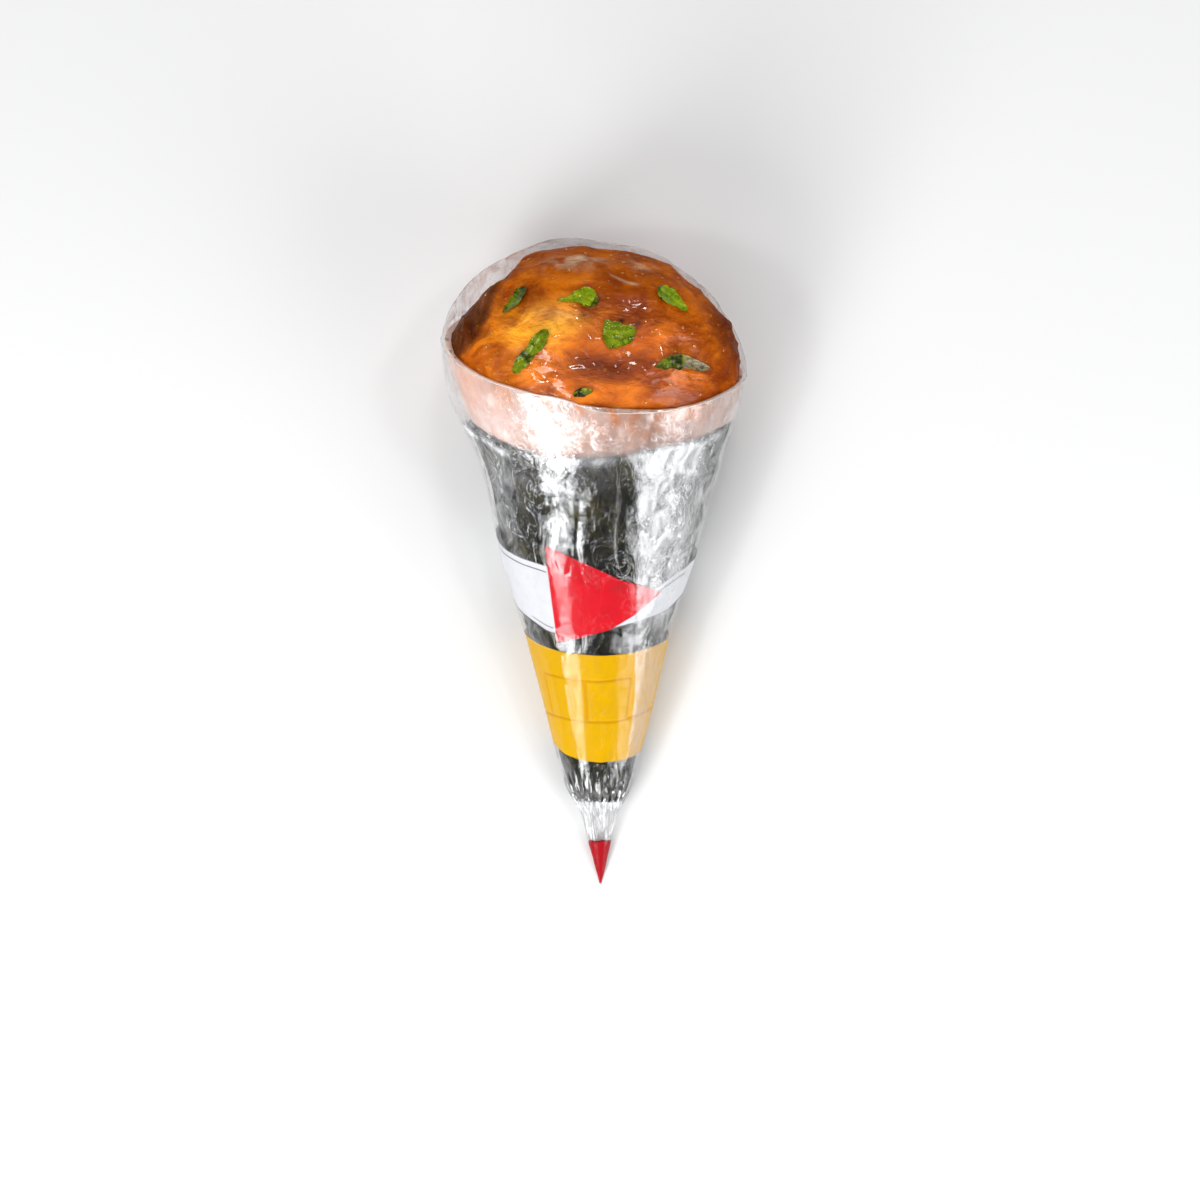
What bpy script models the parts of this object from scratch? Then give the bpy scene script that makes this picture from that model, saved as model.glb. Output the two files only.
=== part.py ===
"""Salmon hand roll in a clear film cone, lying on its side.

Metres. +Z is up, +Y runs from the closed tip to the open mouth, +X is right seen from above.
The origin is under the middle of the whole roll, on the surface that it lies on.
"""
import math

import bpy
import numpy as np
from mathutils import Vector
from mathutils.bvhtree import BVHTree

for ob in list(bpy.data.objects):
    bpy.data.objects.remove(ob, do_unlink=True)

# Driving dimensions, in millimetres

HEIGHT_SHARE = 0.80      # half height of a section over its half width
SIT = 0.95               # height of a section's centre over its half height
FILM = 0.5               # film wall
NORI = 0.8               # seaweed wall
GAP = 0.35               # air between touching layers
TIP_Y = -73.9            # closed tip of the film
SHELL_END_Y = -57.5      # the film is solid from here to the tip
NORI_END_Y = -54.4       # closed end of the seaweed
FILL_END_Y = -50.5       # lower end of the filling
MOUTH_Y = 47.0           # middle of the mouth
MOUTH_LEAN = 0.515       # how far the mouth leans back, per millimetre of height
MOUTH_SKEW = 0.133       # how far the mouth's left side is further out
NORI_EDGE_Y = 30.2       # middle of the seaweed's upper edge
NORI_LEAN = 0.30
SALMON_DOWN = 1.6        # the salmon starts this far inside the mouth
DOME = 24.7              # how far the salmon bulges out of the mouth
FLAP = 0.9               # the film's back wall stands this far off the salmon
SEGMENTS = 40            # sides of every ring
SOFTEN = 1.8             # how far the outline is evened out along Y

# Outline seen from above: y, middle x, half width
OUTLINE = (
    (-73.9, 0.1, 0.5),
    (-71.0, 0.1, 1.2),
    (-64.2, -0.1, 2.9),
    (-58.0, 0.0, 4.3),
    (-55.5, -0.2, 5.3),
    (-53.2, -0.4, 6.9),
    (-50.7, -0.4, 7.9),
    (-43.7, -0.4, 9.8),
    (-32.0, -0.3, 12.8),
    (-15.5, -0.6, 16.8),
    (-7.0, -0.5, 19.5),
    (2.6, -0.3, 22.6),
    (10.6, -0.2, 24.4),
    (17.5, 0.2, 25.9),
    (25.5, 0.1, 28.2),
    (33.3, -0.5, 31.6),
    (37.8, -0.9, 33.2),
    (44.1, -0.9, 34.5),
    (52.0, -0.9, 35.3),
    (75.0, -0.9, 36.0),
)

# How far round the bulge the film's back wall reaches: ring angle, angle from the bulge's middle
BACK_WALL = (
    (180, 90), (195, 84), (215, 77), (235, 55), (250, 36), (270, 29),
    (288, 29), (302, 36), (320, 52), (340, 75), (360, 90),
)

# How far the front lip rises above the mouth's plane: ring angle, rise along the cone
LIP_RISE = (
    (0, 0.4), (30, 1.7), (45, 1.3), (57, 0.9), (66, 0.5), (80, 0.1), (90, 0.2),
    (98, 1.1), (108, 1.6), (118, 1.8), (135, 0.7), (165, 0.0), (180, 0.3), (200, 0.0), (360, 0.4),
)

# Folds and hollows of the salmon: x, y, radius x, radius y, turn in degrees, height
FOLDS = (
    (0.0, 45.5, 11.0, 5.0, 0, -1.5),
    (-13.0, 50.0, 7.0, 9.0, 25, 0.9),
    (-6.0, 62.0, 9.0, 5.5, 10, 0.8),
    (12.0, 59.0, 8.0, 7.0, -20, 0.8),
    (3.5, 55.0, 4.0, 7.5, 15, -0.9),
    (20.0, 50.0, 6.0, 6.0, 0, 0.7),
    (-2.0, 37.5, 12.0, 3.0, 0, 0.6),
    (24.0, 62.0, 4.5, 7.0, 40, -1.0),
)
CREASE = ((-17.0, 73.0), (-22.5, 63.0), (-24.0, 56.5), (-26.5, 51.5), (-31.0, 47.0))
CREASE_DROP = 2.6        # the salmon left of the crease lies this much lower

# Herb pieces: start x, y, end x, y, half width, fullness, bend
HERBS = (
    (-21.6, 56.0, -16.9, 61.0, 1.15, 0.8, 0.25),
    (-6.4, 59.0, 0.2, 58.9, 2.1, 0.55, 0.45),
    (12.9, 61.6, 19.4, 56.9, 1.5, 0.6, -0.5),
    (-19.1, 42.6, -11.4, 51.8, 1.55, 0.5, 0.1),
    (0.3, 51.0, 7.8, 51.2, 3.1, 0.42, 0.2),
    (12.5, 44.1, 24.6, 45.0, 1.8, 0.55, 0.5),
    (-5.7, 37.9, -1.7, 38.7, 0.85, 0.5, 0.1),
)
HERB_THICK = 0.5
HERB_GAP = 0.35

TABLE = np.array(OUTLINE)
RISE = np.array(LIP_RISE, dtype=float)


def outline(y):
    """Middle x and half width of the film at y, with the table's corners evened out."""
    near = y + SOFTEN * np.array((-1.0, -0.5, 0.0, 0.5, 1.0))
    middle = np.interp(near, TABLE[:, 0], TABLE[:, 1]).mean()
    return middle, np.interp(near, TABLE[:, 0], TABLE[:, 2]).mean()


def middle_height(y):
    return SIT * HEIGHT_SHARE * outline(y)[1]


def section(angle, y, inset):
    """Point of the upright section at y, moved in by inset, flat where it lies."""
    middle, half = outline(y)
    x = middle + (half - inset) * math.cos(angle)
    z = SIT * HEIGHT_SHARE * half + (HEIGHT_SHARE * half - inset) * math.sin(angle)
    return x, max(z, inset)


def ring(station, lean, skew, inset):
    """Ring round the cone on a leaning plane."""
    base = middle_height(station)
    points = []
    for i in range(SEGMENTS):
        angle = 2 * math.pi * i / SEGMENTS
        y = station
        for _ in range(24):
            x, z = section(angle, y, inset)
            y = 0.5 * y + 0.5 * (station - skew * (x - outline(station)[0]) - lean * (z - base))
        points.append((x, y, z))
    return np.array(points)


def lean_at(station):
    share = (station - TIP_Y) / (MOUTH_Y - TIP_Y)
    share = min(max(share, 0.0), 1.0)
    return MOUTH_LEAN * share ** 0.6, MOUTH_SKEW * share ** 2


def cone_rings(start, end, count, inset):
    rings = []
    for i in range(count):
        station = start + (end - start) * i / (count - 1)
        rings.append(ring(station, *lean_at(station), inset))
    return rings


ACROSS = Vector((1.0, -MOUTH_SKEW, 0.0)).normalized()
UP_MOUTH = Vector((0.0, -MOUTH_LEAN, 1.0)).normalized()
OUT = np.array(ACROSS.cross(UP_MOUTH).normalized())
OUT = OUT if OUT[1] > 0 else -OUT


def mouth_middle(station):
    return np.array((outline(station)[0], station, middle_height(station)))


def material(name, color, roughness, alpha=1.0):
    m = bpy.data.materials.new(name)
    m.use_nodes = True
    shader = m.node_tree.nodes["Principled BSDF"]
    shader.inputs["Base Color"].default_value = (*color, 1.0)
    shader.inputs["Roughness"].default_value = roughness
    shader.inputs["Alpha"].default_value = alpha
    m.diffuse_color = (*color, alpha)
    return m


def solid(name, rings, mat, start_point=None, end_point=None):
    """Closed solid from rings in order, each end closed by a fan round a point."""
    count = len(rings[0])
    verts = [tuple(p) for r in rings for p in r]
    faces = []
    for i in range(len(rings) - 1):
        a, b = i * count, (i + 1) * count
        for j in range(count):
            k = (j + 1) % count
            faces.append((a + j, a + k, b + k))
            faces.append((a + j, b + k, b + j))
    for point, base, flip in (
        (start_point, 0, True),
        (end_point, (len(rings) - 1) * count, False),
    ):
        if point is None:
            point = np.mean(rings[0 if flip else -1], axis=0)
        verts.append(tuple(point))
        tip = len(verts) - 1
        for j in range(count):
            k = (j + 1) % count
            faces.append((base + k, base + j, tip) if flip else (base + j, base + k, tip))
    return make_object(name, verts, faces, mat)


def make_object(name, verts, faces, mat):
    mesh = bpy.data.meshes.new(name)
    shifted = [((v[0] - MIDDLE[0]) * 0.001, (v[1] - MIDDLE[1]) * 0.001, v[2] * 0.001) for v in verts]
    mesh.from_pydata(shifted, [], faces)
    mesh.validate()
    mesh.update()
    mesh.materials.append(mat)
    made = bpy.data.objects.new(name, mesh)
    bpy.context.collection.objects.link(made)
    if signed_volume(mesh) < 0:
        mesh.flip_normals()
    return made


def signed_volume(mesh):
    mesh.calc_loop_triangles()
    total = 0.0
    for tri in mesh.loop_triangles:
        a, b, c = (mesh.vertices[i].co for i in tri.vertices)
        total += a.dot(b.cross(c))
    return total / 6.0


FILM_MAT = material("clear_film", (0.86, 0.88, 0.88), 0.12, 0.35)
NORI_MAT = material("seaweed", (0.035, 0.042, 0.024), 0.45)
FILLING_MAT = material("rice_and_salmon", (0.78, 0.58, 0.50), 0.45)
SALMON_MAT = material("glazed_salmon", (0.62, 0.20, 0.035), 0.22)
HERB_MAT = material("herb", (0.12, 0.30, 0.02), 0.4)


def back_reach(angle):
    table = np.array(BACK_WALL, dtype=float)
    degrees = math.degrees(angle)
    return 90.0 if degrees < 180 else float(np.interp(degrees, table[:, 0], table[:, 1]))


def flap_rings(inset, count):
    """Film beyond the mouth: its back wall goes on round the salmon's back."""
    middle = mouth_middle(MOUTH_Y)
    edge = ring(MOUTH_Y, MOUTH_LEAN, MOUTH_SKEW, inset)
    rings = []
    for i in range(1, count + 1):
        points = []
        for j, at_edge in enumerate(edge):
            angle = 2 * math.pi * j / SEGMENTS
            reach = math.radians(90 - back_reach(angle))
            lift = i / count * reach
            rise = float(np.interp(math.degrees(angle), RISE[:, 0], RISE[:, 1]))
            spread = 1 + 0.11 * math.exp(-((math.degrees(angle) - 218) / 22) ** 2) * math.sin(min(lift * 3, 1.57))
            out = (DOME + FLAP - inset) * math.sin(lift)
            point = middle + (at_edge - middle) * math.cos(lift) * spread + OUT * out
            point = point + np.array((0, 1.0, 0.5 * math.sin(angle))) * (i / count) * rise
            point[2] = max(point[2], inset)
            points.append(point)
        rings.append(np.array(points))
    return rings


outer = cone_rings(TIP_Y, MOUTH_Y, 24, 0.0) + flap_rings(0.0, 6)
all_points = np.concatenate(outer)
tip_point = (outline(TIP_Y)[0], TIP_Y - 0.4, 0.5)
MIDDLE = (
    (all_points[:, 0].min() + all_points[:, 0].max()) / 2,
    (tip_point[1] + all_points[:, 1].max()) / 2,
)
inner = cone_rings(SHELL_END_Y, MOUTH_Y, 20, FILM) + flap_rings(FILM, 6)
film = solid(
    "film_wrapper",
    outer + inner[::-1],
    FILM_MAT,
    start_point=tip_point,
)

nori_out = FILM + GAP
nori_in = nori_out + NORI
nori_count = 17


def nori_rings(start, inset, count):
    rings = []
    for i in range(count):
        share = i / (count - 1)
        station = start + (NORI_EDGE_Y - start) * share
        lean, skew = lean_at(station)
        lean = lean * (1 - share) + NORI_LEAN * share
        rings.append(ring(station, lean, skew * (1 - share), inset))
    return rings


nori = solid(
    "nori_cone",
    nori_rings(NORI_END_Y, nori_out, nori_count)
    + nori_rings(NORI_END_Y + 1.6, nori_in, nori_count)[::-1],
    NORI_MAT,
)

core_in = nori_in + GAP
core = nori_rings(FILL_END_Y, core_in, 14)
core[-1] = ring(NORI_EDGE_Y + 0.05, NORI_LEAN, 0.0, core_in)
core.append(ring(NORI_EDGE_Y + 0.5, NORI_LEAN, 0.0, core_in - 0.1))
core.append(ring(NORI_EDGE_Y + 0.9, NORI_LEAN, 0.0, nori_out))
top_station = MOUTH_Y - SALMON_DOWN - GAP - 0.1
for share in (0.25, 0.5, 0.75, 1.0):
    station = NORI_EDGE_Y + 0.9 + (top_station - NORI_EDGE_Y - 0.9) * share
    lean = NORI_LEAN + (MOUTH_LEAN - NORI_LEAN) * share
    core.append(ring(station, lean, MOUTH_SKEW * share, nori_out + 0.35 * share))
filling = solid("filling", core, FILLING_MAT)


def fold_height(x, y):
    """Folds and hollows over the bulge, in millimetres."""
    total = 0.0
    for fx, fy, rx, ry, turn, height in FOLDS:
        c, s = math.cos(math.radians(turn)), math.sin(math.radians(turn))
        u, v = (x - fx) * c + (y - fy) * s, -(x - fx) * s + (y - fy) * c
        total += height * math.exp(-(u / rx) ** 2 - (v / ry) ** 2)
    xs = np.array([p[0] for p in CREASE][::-1])
    ys = np.array([p[1] for p in CREASE][::-1])
    line = float(np.interp(y, ys, xs))
    total -= CREASE_DROP * 0.5 * (1 - math.tanh((x - line) / 1.6))
    total += 0.35 * math.sin(0.31 * x + 0.55 * y) * math.sin(0.42 * x - 0.21 * y + 1.0)
    return total


def salmon_rings():
    station = MOUTH_Y - SALMON_DOWN
    middle = mouth_middle(station)
    edge = ring(station, MOUTH_LEAN, MOUTH_SKEW, FILM + 2.3 * GAP)
    rings = [edge]
    count = 16
    for i in range(1, count):
        lift = math.radians(90) * i / count
        points = []
        for at_edge in edge:
            point = middle + (at_edge - middle) * math.cos(lift) + OUT * DOME * math.sin(lift)
            away = point - middle
            away = away / np.linalg.norm(away)
            fade = min(1.0, 2.2 * math.sin(lift))
            low = min(1.0, max(0.0, (point[2] - 20.0) / 12.0))
            bump = fold_height(point[0], point[1])
            bump = bump if bump < 0 else bump * (0.35 + 0.65 * low)
            points.append(point + away * bump * fade)
        rings.append(np.array(points))
    middle_out = middle + OUT * (DOME + fold_height(*(middle + OUT * DOME)[:2]))
    return rings, middle, middle_out


rings, salmon_low, salmon_far = salmon_rings()
salmon = solid("salmon_top", rings, SALMON_MAT, start_point=salmon_low, end_point=salmon_far)

salmon_tree = BVHTree.FromPolygons(
    [v.co * 1000 + Vector((*MIDDLE, 0.0)) for v in salmon.data.vertices],
    [tuple(p.vertices) for p in salmon.data.polygons],
)


def top_of_salmon(x, y):
    """Height and upright share of the slope where a plumb line meets the salmon."""
    at, normal, _, _ = salmon_tree.ray_cast(Vector((x, y, 200.0)), Vector((0, 0, -1)))
    return at.z, max(abs(normal.z), 0.3)


def herb_leaf(name, x0, y0, x1, y1, half, full, bend):
    """Thin wavy leaf draped over the salmon."""
    steps, sides = 9, 4
    length = math.hypot(x1 - x0, y1 - y0)
    ax, ay = (x1 - x0) / length, (y1 - y0) / length
    low, high = [], []
    for i in range(steps + 1):
        t = i / steps
        width = half * max(0.14, math.sin(math.pi * (0.06 + 0.9 * t)) ** full)
        for j in range(sides + 1):
            s = (j / sides * 2 - 1) * width
            curve = bend * math.sin(math.pi * t)
            x = x0 + ax * length * t - ay * (s + curve)
            y = y0 + ay * length * t + ax * (s + curve)
            z, slope = top_of_salmon(x, y)
            wave = 0.16 * (1 + math.sin(5.0 * t + 1.6 * j + length))
            low.append((x, y, z + (HERB_GAP + wave) / slope))
            high.append((x, y, z + (HERB_GAP + wave + HERB_THICK) / slope))
    verts = low + high
    row, offset = sides + 1, len(low)
    faces = []
    for i in range(steps):
        for j in range(sides):
            a = i * row + j
            b, c, d = a + 1, a + row + 1, a + row
            faces += [(a, c, b), (a, d, c)]
            faces += [(offset + a, offset + b, offset + c), (offset + a, offset + c, offset + d)]
    rim = list(range(0, row))
    rim += [i * row + sides for i in range(1, steps + 1)]
    rim += [steps * row + j for j in range(sides - 1, -1, -1)]
    rim += [i * row for i in range(steps - 1, 0, -1)]
    for i, a in enumerate(rim):
        b = rim[(i + 1) % len(rim)]
        faces += [(a, b, offset + b), (a, offset + b, offset + a)]
    return make_object(name, verts, faces, HERB_MAT)


for number, herb in enumerate(HERBS, 1):
    herb_leaf(f"herb_{number}", *herb)
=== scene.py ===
"""Salmon hand roll in a clear printed film cone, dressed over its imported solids."""

import math

import bpy
import numpy as np
from mathutils import Matrix, Vector
from mathutils.bvhtree import BVHTree


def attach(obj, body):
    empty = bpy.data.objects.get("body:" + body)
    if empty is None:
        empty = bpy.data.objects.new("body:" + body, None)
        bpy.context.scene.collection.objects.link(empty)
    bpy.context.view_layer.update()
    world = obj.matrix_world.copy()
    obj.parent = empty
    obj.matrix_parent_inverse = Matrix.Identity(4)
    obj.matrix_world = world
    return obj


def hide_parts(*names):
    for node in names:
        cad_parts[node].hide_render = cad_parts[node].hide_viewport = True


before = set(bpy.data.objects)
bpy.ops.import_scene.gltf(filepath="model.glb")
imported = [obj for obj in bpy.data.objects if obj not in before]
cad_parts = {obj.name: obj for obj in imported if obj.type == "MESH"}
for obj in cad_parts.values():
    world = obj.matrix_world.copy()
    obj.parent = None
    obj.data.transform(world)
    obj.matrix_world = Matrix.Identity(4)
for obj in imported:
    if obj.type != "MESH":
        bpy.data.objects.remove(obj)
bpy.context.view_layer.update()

bl_info = {
    "name": "Salmon hand roll",
    "version": (1, 0, 0),
    "blender": (4, 5, 0),
    "location": "View3D > Sidebar > Hand roll",
    "description": "Makes a salmon hand roll in a clear printed film cone",
    "category": "Add Mesh",
}

# The roll's own measures, in millimetres, as its solids have them. Y runs from the tip to the salmon, and
# MOUTH_LEAN and MOUTH_SKEW are the slopes of the mouth's plane

MIDDLE = (-1.3896, 0.0396)
TIP_Y = -73.9
NORI_END_Y = -54.4
FILL_END_Y = -50.5
MOUTH_Y = 47.0
MOUTH_LEAN = 0.515
MOUTH_SKEW = 0.133
DOME = 24.7
FLAP_GAP = 0.9
HEAP_Y = MOUTH_Y - 1.6
TIP_PRINT_END = -64.0
OUTLINE = np.array((
    (-73.9, 0.1, 0.05), (-71.0, 0.1, 1.1), (-64.2, -0.1, 2.9), (-58.0, 0.0, 4.3), (-55.5, -0.2, 5.3),
    (-53.2, -0.4, 6.9), (-50.7, -0.4, 7.9), (-43.7, -0.4, 9.8), (-32.0, -0.3, 12.8), (-15.5, -0.6, 16.8),
    (-7.0, -0.5, 19.5), (2.6, -0.3, 22.6), (10.6, -0.2, 24.4), (17.5, 0.2, 25.9), (25.5, 0.1, 28.2),
    (33.3, -0.5, 31.6), (37.8, -0.9, 33.2), (44.1, -0.9, 34.5), (52.0, -0.9, 35.3), (75.0, -0.9, 36.0),
))

# The cone's section as shares of its half width: how high its middle lies, and half its height

CENTRE_SHARE = 0.76
UP_SHARE = 0.8

# How far the pieces lie inside the film's cone

HEAP_INSET = 1.5
FILLING_INSET = 0.7
SEAWEED_INSET = 1.15
PRINT_INSET = 0.13
PENNANT_INSET = 0.07
FINE_INSET = 0.1

# Pleats round the gathered neck, and roughness of the clear film and of its ink

PLEATS = 23
FILM_ROUGHNESS = 0.09
PRINT_ROUGHNESS = 0.38

# Edges as pairs of ring angle in degrees and place along Y. 90 is on top, 0 right, 180 left

BACK_WALL = ((180, 90), (195, 84), (215, 77), (232, 60), (243, 34), (252, 31), (262, 22), (272, 23),
             (282, 30), (290, 22), (297, 25), (305, 37), (320, 52), (340, 75), (360, 90))
LIP_RISE = ((0, 0.6), (18, 1.0), (27, 1.4), (38, 0.7), (48, 0.4), (57, -0.1), (66, -0.4), (84, -0.9), (90, -1.1),
            (94, -0.4), (100, 0.5), (108, 0.9), (116, 0.4), (125, 0.6), (135, 0.2), (148, 0.3), (165, 0.1),
            (180, 0.3), (200, 0.0), (360, 0.6))
NORI_EDGE = ((0, 32.6), (20, 30.7), (38, 28.2), (53, 26.3), (66, 25.3), (78, 24.4), (90, 23.7), (110, 23.6),
             (128, 25.4), (142, 27.6), (158, 30.2), (180, 32.4), (225, 36.0), (270, 38.0), (315, 36.0))
WHITE_TOP = ((0, 2.6), (34, -2.0), (48, -5.0), (61, -6.3), (89, -5.4), (124, 0.0), (143, 1.8), (168, 4.9),
             (180, 7.7), (225, 12.5), (270, 14.5), (315, 9.0))
WHITE_LOW = ((0, -5.6), (15, -7.0), (26, -9.5), (50, -12.0), (71, -13.6), (104, -16.1), (130, -15.0),
             (144, -12.7), (164, -10.0), (180, -7.7), (225, -2.0), (270, 2.0), (315, -1.0))
YELLOW_TOP = ((0, -16.0), (14, -16.9), (42, -18.7), (62, -20.0), (88, -20.5), (118, -19.8), (144, -18.0),
              (172, -15.5), (180, -15.0), (225, -12.5), (270, -11.0), (315, -12.5))
YELLOW_LOW = ((0, -42.0), (24, -43.5), (58, -44.8), (88, -45.2), (109, -44.8), (141, -43.5), (160, -41.5),
              (180, -40.3), (225, -38.5), (270, -38.0), (315, -39.0))
PENNANT_ENDS = (43.2, 123.0)
PENNANT_TOP = ((43, -5.9), (76, -3.2), (101, 0.9), (122, 4.6))
PENNANT_LOW = ((43, -5.9), (62, -11.1), (80, -14.5), (104, -16.4), (124, -17.4))
BRICK_LINES = (
    ((31, -24.0), (57, -25.5), (88, -26.4), (112, -26.0), (142, -24.7), (180, -23.4)),
    ((10, -32.6), (31, -33.5), (71, -35.7), (100, -35.7), (127, -35.0), (150, -34.2), (180, -33.0)),
)
BRICK_JOINTS = (103.0, 57.0, 150.0, 12.0)

# Folds and hollows of the salmon: x, y, radius x, radius y, turn in degrees, height
FOLDS = (
    (0.0, 45.5, 11.0, 5.0, 0, -1.5), (-13.0, 50.0, 7.0, 9.0, 25, 0.9), (-6.0, 62.0, 9.0, 5.5, 10, 0.8),
    (12.0, 59.0, 8.0, 7.0, -20, 0.8), (3.5, 55.0, 4.0, 7.5, 15, -0.9), (20.0, 50.0, 6.0, 6.0, 0, 0.7),
    (-2.0, 37.5, 12.0, 3.0, 0, 0.6), (24.0, 62.0, 4.5, 7.0, 40, -1.0),
)
CREASE = ((-31.0, 47.0), (-26.5, 51.5), (-24.0, 56.5), (-22.5, 63.0), (-17.0, 73.0))
CREASE_DROP = 2.6


def shaped(angle_degrees, pairs):
    """Value of an edge's pairs at ring angles, joined smoothly and closed round the ring."""
    table = np.array(sorted(pairs), dtype=float)
    if table[0, 0] < 60 and table[-1, 0] > 250 and table[-1, 0] < 360:
        table = np.vstack((table, table[0] + (360, 0)))
    spread = np.array((-5.0, -2.5, 0.0, 2.5, 5.0))
    near = np.add.outer(np.asarray(angle_degrees, dtype=float), spread)
    if table[-1, 0] - table[0, 0] > 359:
        near = near % 360
    return np.interp(near, table[:, 0], table[:, 1]).mean(-1)


def outline(y):
    """Middle x and half width of the film at y."""
    near = np.add.outer(np.asarray(y, dtype=float), 1.8 * np.array((-1.0, -0.5, 0.0, 0.5, 1.0)))
    middle = np.interp(near, OUTLINE[:, 0], OUTLINE[:, 1]).mean(-1)
    return middle, np.interp(near, OUTLINE[:, 0], OUTLINE[:, 2]).mean(-1)


def ring_angles(count):
    """Angles in radians of evenly spaced points round a ring."""
    return 2 * math.pi * np.arange(count) / count


def on_cone(angle, y, inset):
    """Points of the lying cone at ring angles and places along Y, moved in by inset."""
    middle, half = outline(y)
    x = middle + (half - inset) * np.cos(angle)
    z = CENTRE_SHARE * half + (UP_SHARE * half - inset) * np.sin(angle)
    z = np.maximum(z, inset + 0.05)
    return np.stack(np.broadcast_arrays(x, y, z), -1)


def pressed_in(angle, y, depth):
    """Points of the cone moved in square to its ring by a depth for each point."""
    grid = on_cone(angle, y, 0.0)
    out = on_cone(angle, y, -1.0) - grid
    out /= np.linalg.norm(out, axis=-1, keepdims=True)
    return grid - out * depth[..., None]


def mouth_ring(angle, station, inset):
    """The cone's points on the leaning plane of the mouth."""
    middle, half = outline(station)
    y = np.full_like(angle, station)
    for _ in range(30):
        p = on_cone(angle, y, inset)
        lean = MOUTH_SKEW * (p[..., 0] - middle) + MOUTH_LEAN * (p[..., 2] - CENTRE_SHARE * half)
        y = 0.5 * y + 0.5 * (station - lean)
    return on_cone(angle, y, inset)


ACROSS = Vector((1.0, -MOUTH_SKEW, 0.0)).normalized()
UP_MOUTH = Vector((0.0, -MOUTH_LEAN, 1.0)).normalized()
OUT = np.array(ACROSS.cross(UP_MOUTH).normalized())
OUT = OUT if OUT[1] > 0 else -OUT


def mouth_middle(station):
    """Middle of the mouth's plane at a place along Y."""
    middle, half = outline(station)
    return np.array((middle, station, CENTRE_SHARE * half))


def bulge(lift):
    """Share of the mouth's width that the heap and the film behind it keep at a lift angle."""
    return np.cos(lift) ** 0.84


# Uneven shapes


def lattice(ix, iy, iz, seed):
    """Fixed pseudo-random values between -1 and 1 on whole-number points."""
    h = (ix * 374761393 + iy * 668265263 + iz * 1440662683 + seed * 974634777) & 0xFFFFFFFF
    h = ((h ^ (h >> 13)) * 1274126177) & 0xFFFFFFFF
    h = ((h ^ (h >> 16)) * 2246822519) & 0xFFFFFFFF
    return ((h ^ (h >> 15)) & 0xFFFFFF) / float(0x7FFFFF) - 1.0


def smooth_noise(p, seed=0):
    """Smooth values between -1 and 1 that change over a distance of about 1."""
    base = np.floor(p).astype(np.int64)
    f = p - base
    w = f * f * f * (f * (f * 6 - 15) + 10)
    total = 0.0
    for dx in (0, 1):
        wx = w[..., 0] if dx else 1 - w[..., 0]
        for dy in (0, 1):
            wy = w[..., 1] if dy else 1 - w[..., 1]
            for dz in (0, 1):
                wz = w[..., 2] if dz else 1 - w[..., 2]
                value = lattice(base[..., 0] + dx, base[..., 1] + dy, base[..., 2] + dz, seed)
                total = total + wx * wy * wz * value
    return total


def rough_noise(p, octaves=3, seed=0):
    """Smooth noise with finer layers over it, each half as strong."""
    total, share = 0.0, 0.5
    for i in range(octaves):
        total = total + share * smooth_noise(p * 2.0 ** i, seed + 17 * i)
        share *= 0.5
    return total


def creased(p, seed=0):
    """Sharp ridges with soft valleys, between 0 and 1."""
    return (1 - np.abs(smooth_noise(p, seed))) ** 3


def bell(value, middle, width):
    """1 at the middle, falling off smoothly on both sides."""
    return np.exp(-(((value - middle) / width) ** 2))


def ramp(value, low, high):
    """A smooth rise from 0 at low to 1 at high."""
    t = np.clip((value - low) / (high - low), 0, 1)
    return t * t * (3 - 2 * t)


def spot(x, y, cx, cy, rx, ry, turn=0):
    """A soft oval of height 1 round a point, turned by degrees."""
    c, s = math.cos(math.radians(turn)), math.sin(math.radians(turn))
    u, v = (x - cx) * c + (y - cy) * s, -(x - cx) * s + (y - cy) * c
    return np.exp(-(u / rx) ** 2 - (v / ry) ** 2)


def printed_share(degrees, y, low, high, soft=0.2):
    """1 on a printed field between two edges and 0 off it."""
    bottom, top = shaped(degrees, low), shaped(degrees, high)
    return ramp(y, bottom - soft, bottom + soft) * (1 - ramp(y, top - soft, top + soft))


class Paint:
    """Colours of a grid of points, laid over each other by amounts."""

    def __init__(self, base, points):
        self.tone = np.array(base) + np.zeros(points.shape)

    def over(self, amount, colour):
        """Lays a colour over the tone, by an amount that is cut to 0 to 1."""
        a = np.clip(amount, 0, 1)[..., None]
        self.tone = self.tone * (1 - a) + np.array(colour) * a


# Meshes


def placed(points):
    """Millimetres of the roll's own layout to metres of the row frame."""
    p = np.asarray(points, dtype=float).reshape(-1, 3).copy()
    p[:, 0] -= MIDDLE[0]
    p[:, 1] -= MIDDLE[1]
    return p * 0.001


def make_piece(name, points, faces, colours=None, values=None):
    """A smooth mesh object in the row frame from millimetre points and a list or array of faces."""
    mesh = bpy.data.meshes.new(name)
    mesh.from_pydata(placed(points).tolist(), [], [tuple(f) for f in faces])
    mesh.validate()
    mesh.update()
    if colours is not None:
        layer = mesh.attributes.new("tint", "FLOAT_COLOR", "POINT")
        flat = np.ones((len(mesh.vertices), 4))
        flat[:, :3] = np.asarray(colours).reshape(-1, 3)
        layer.data.foreach_set("color", flat.ravel())
    for label, numbers in (values or {}).items():
        layer = mesh.attributes.new(label, "FLOAT", "POINT")
        layer.data.foreach_set("value", np.asarray(numbers, dtype=float).ravel())
    made = bpy.data.objects.new(name, mesh)
    bpy.context.scene.collection.objects.link(made)
    mesh.shade_smooth()
    return made


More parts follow.
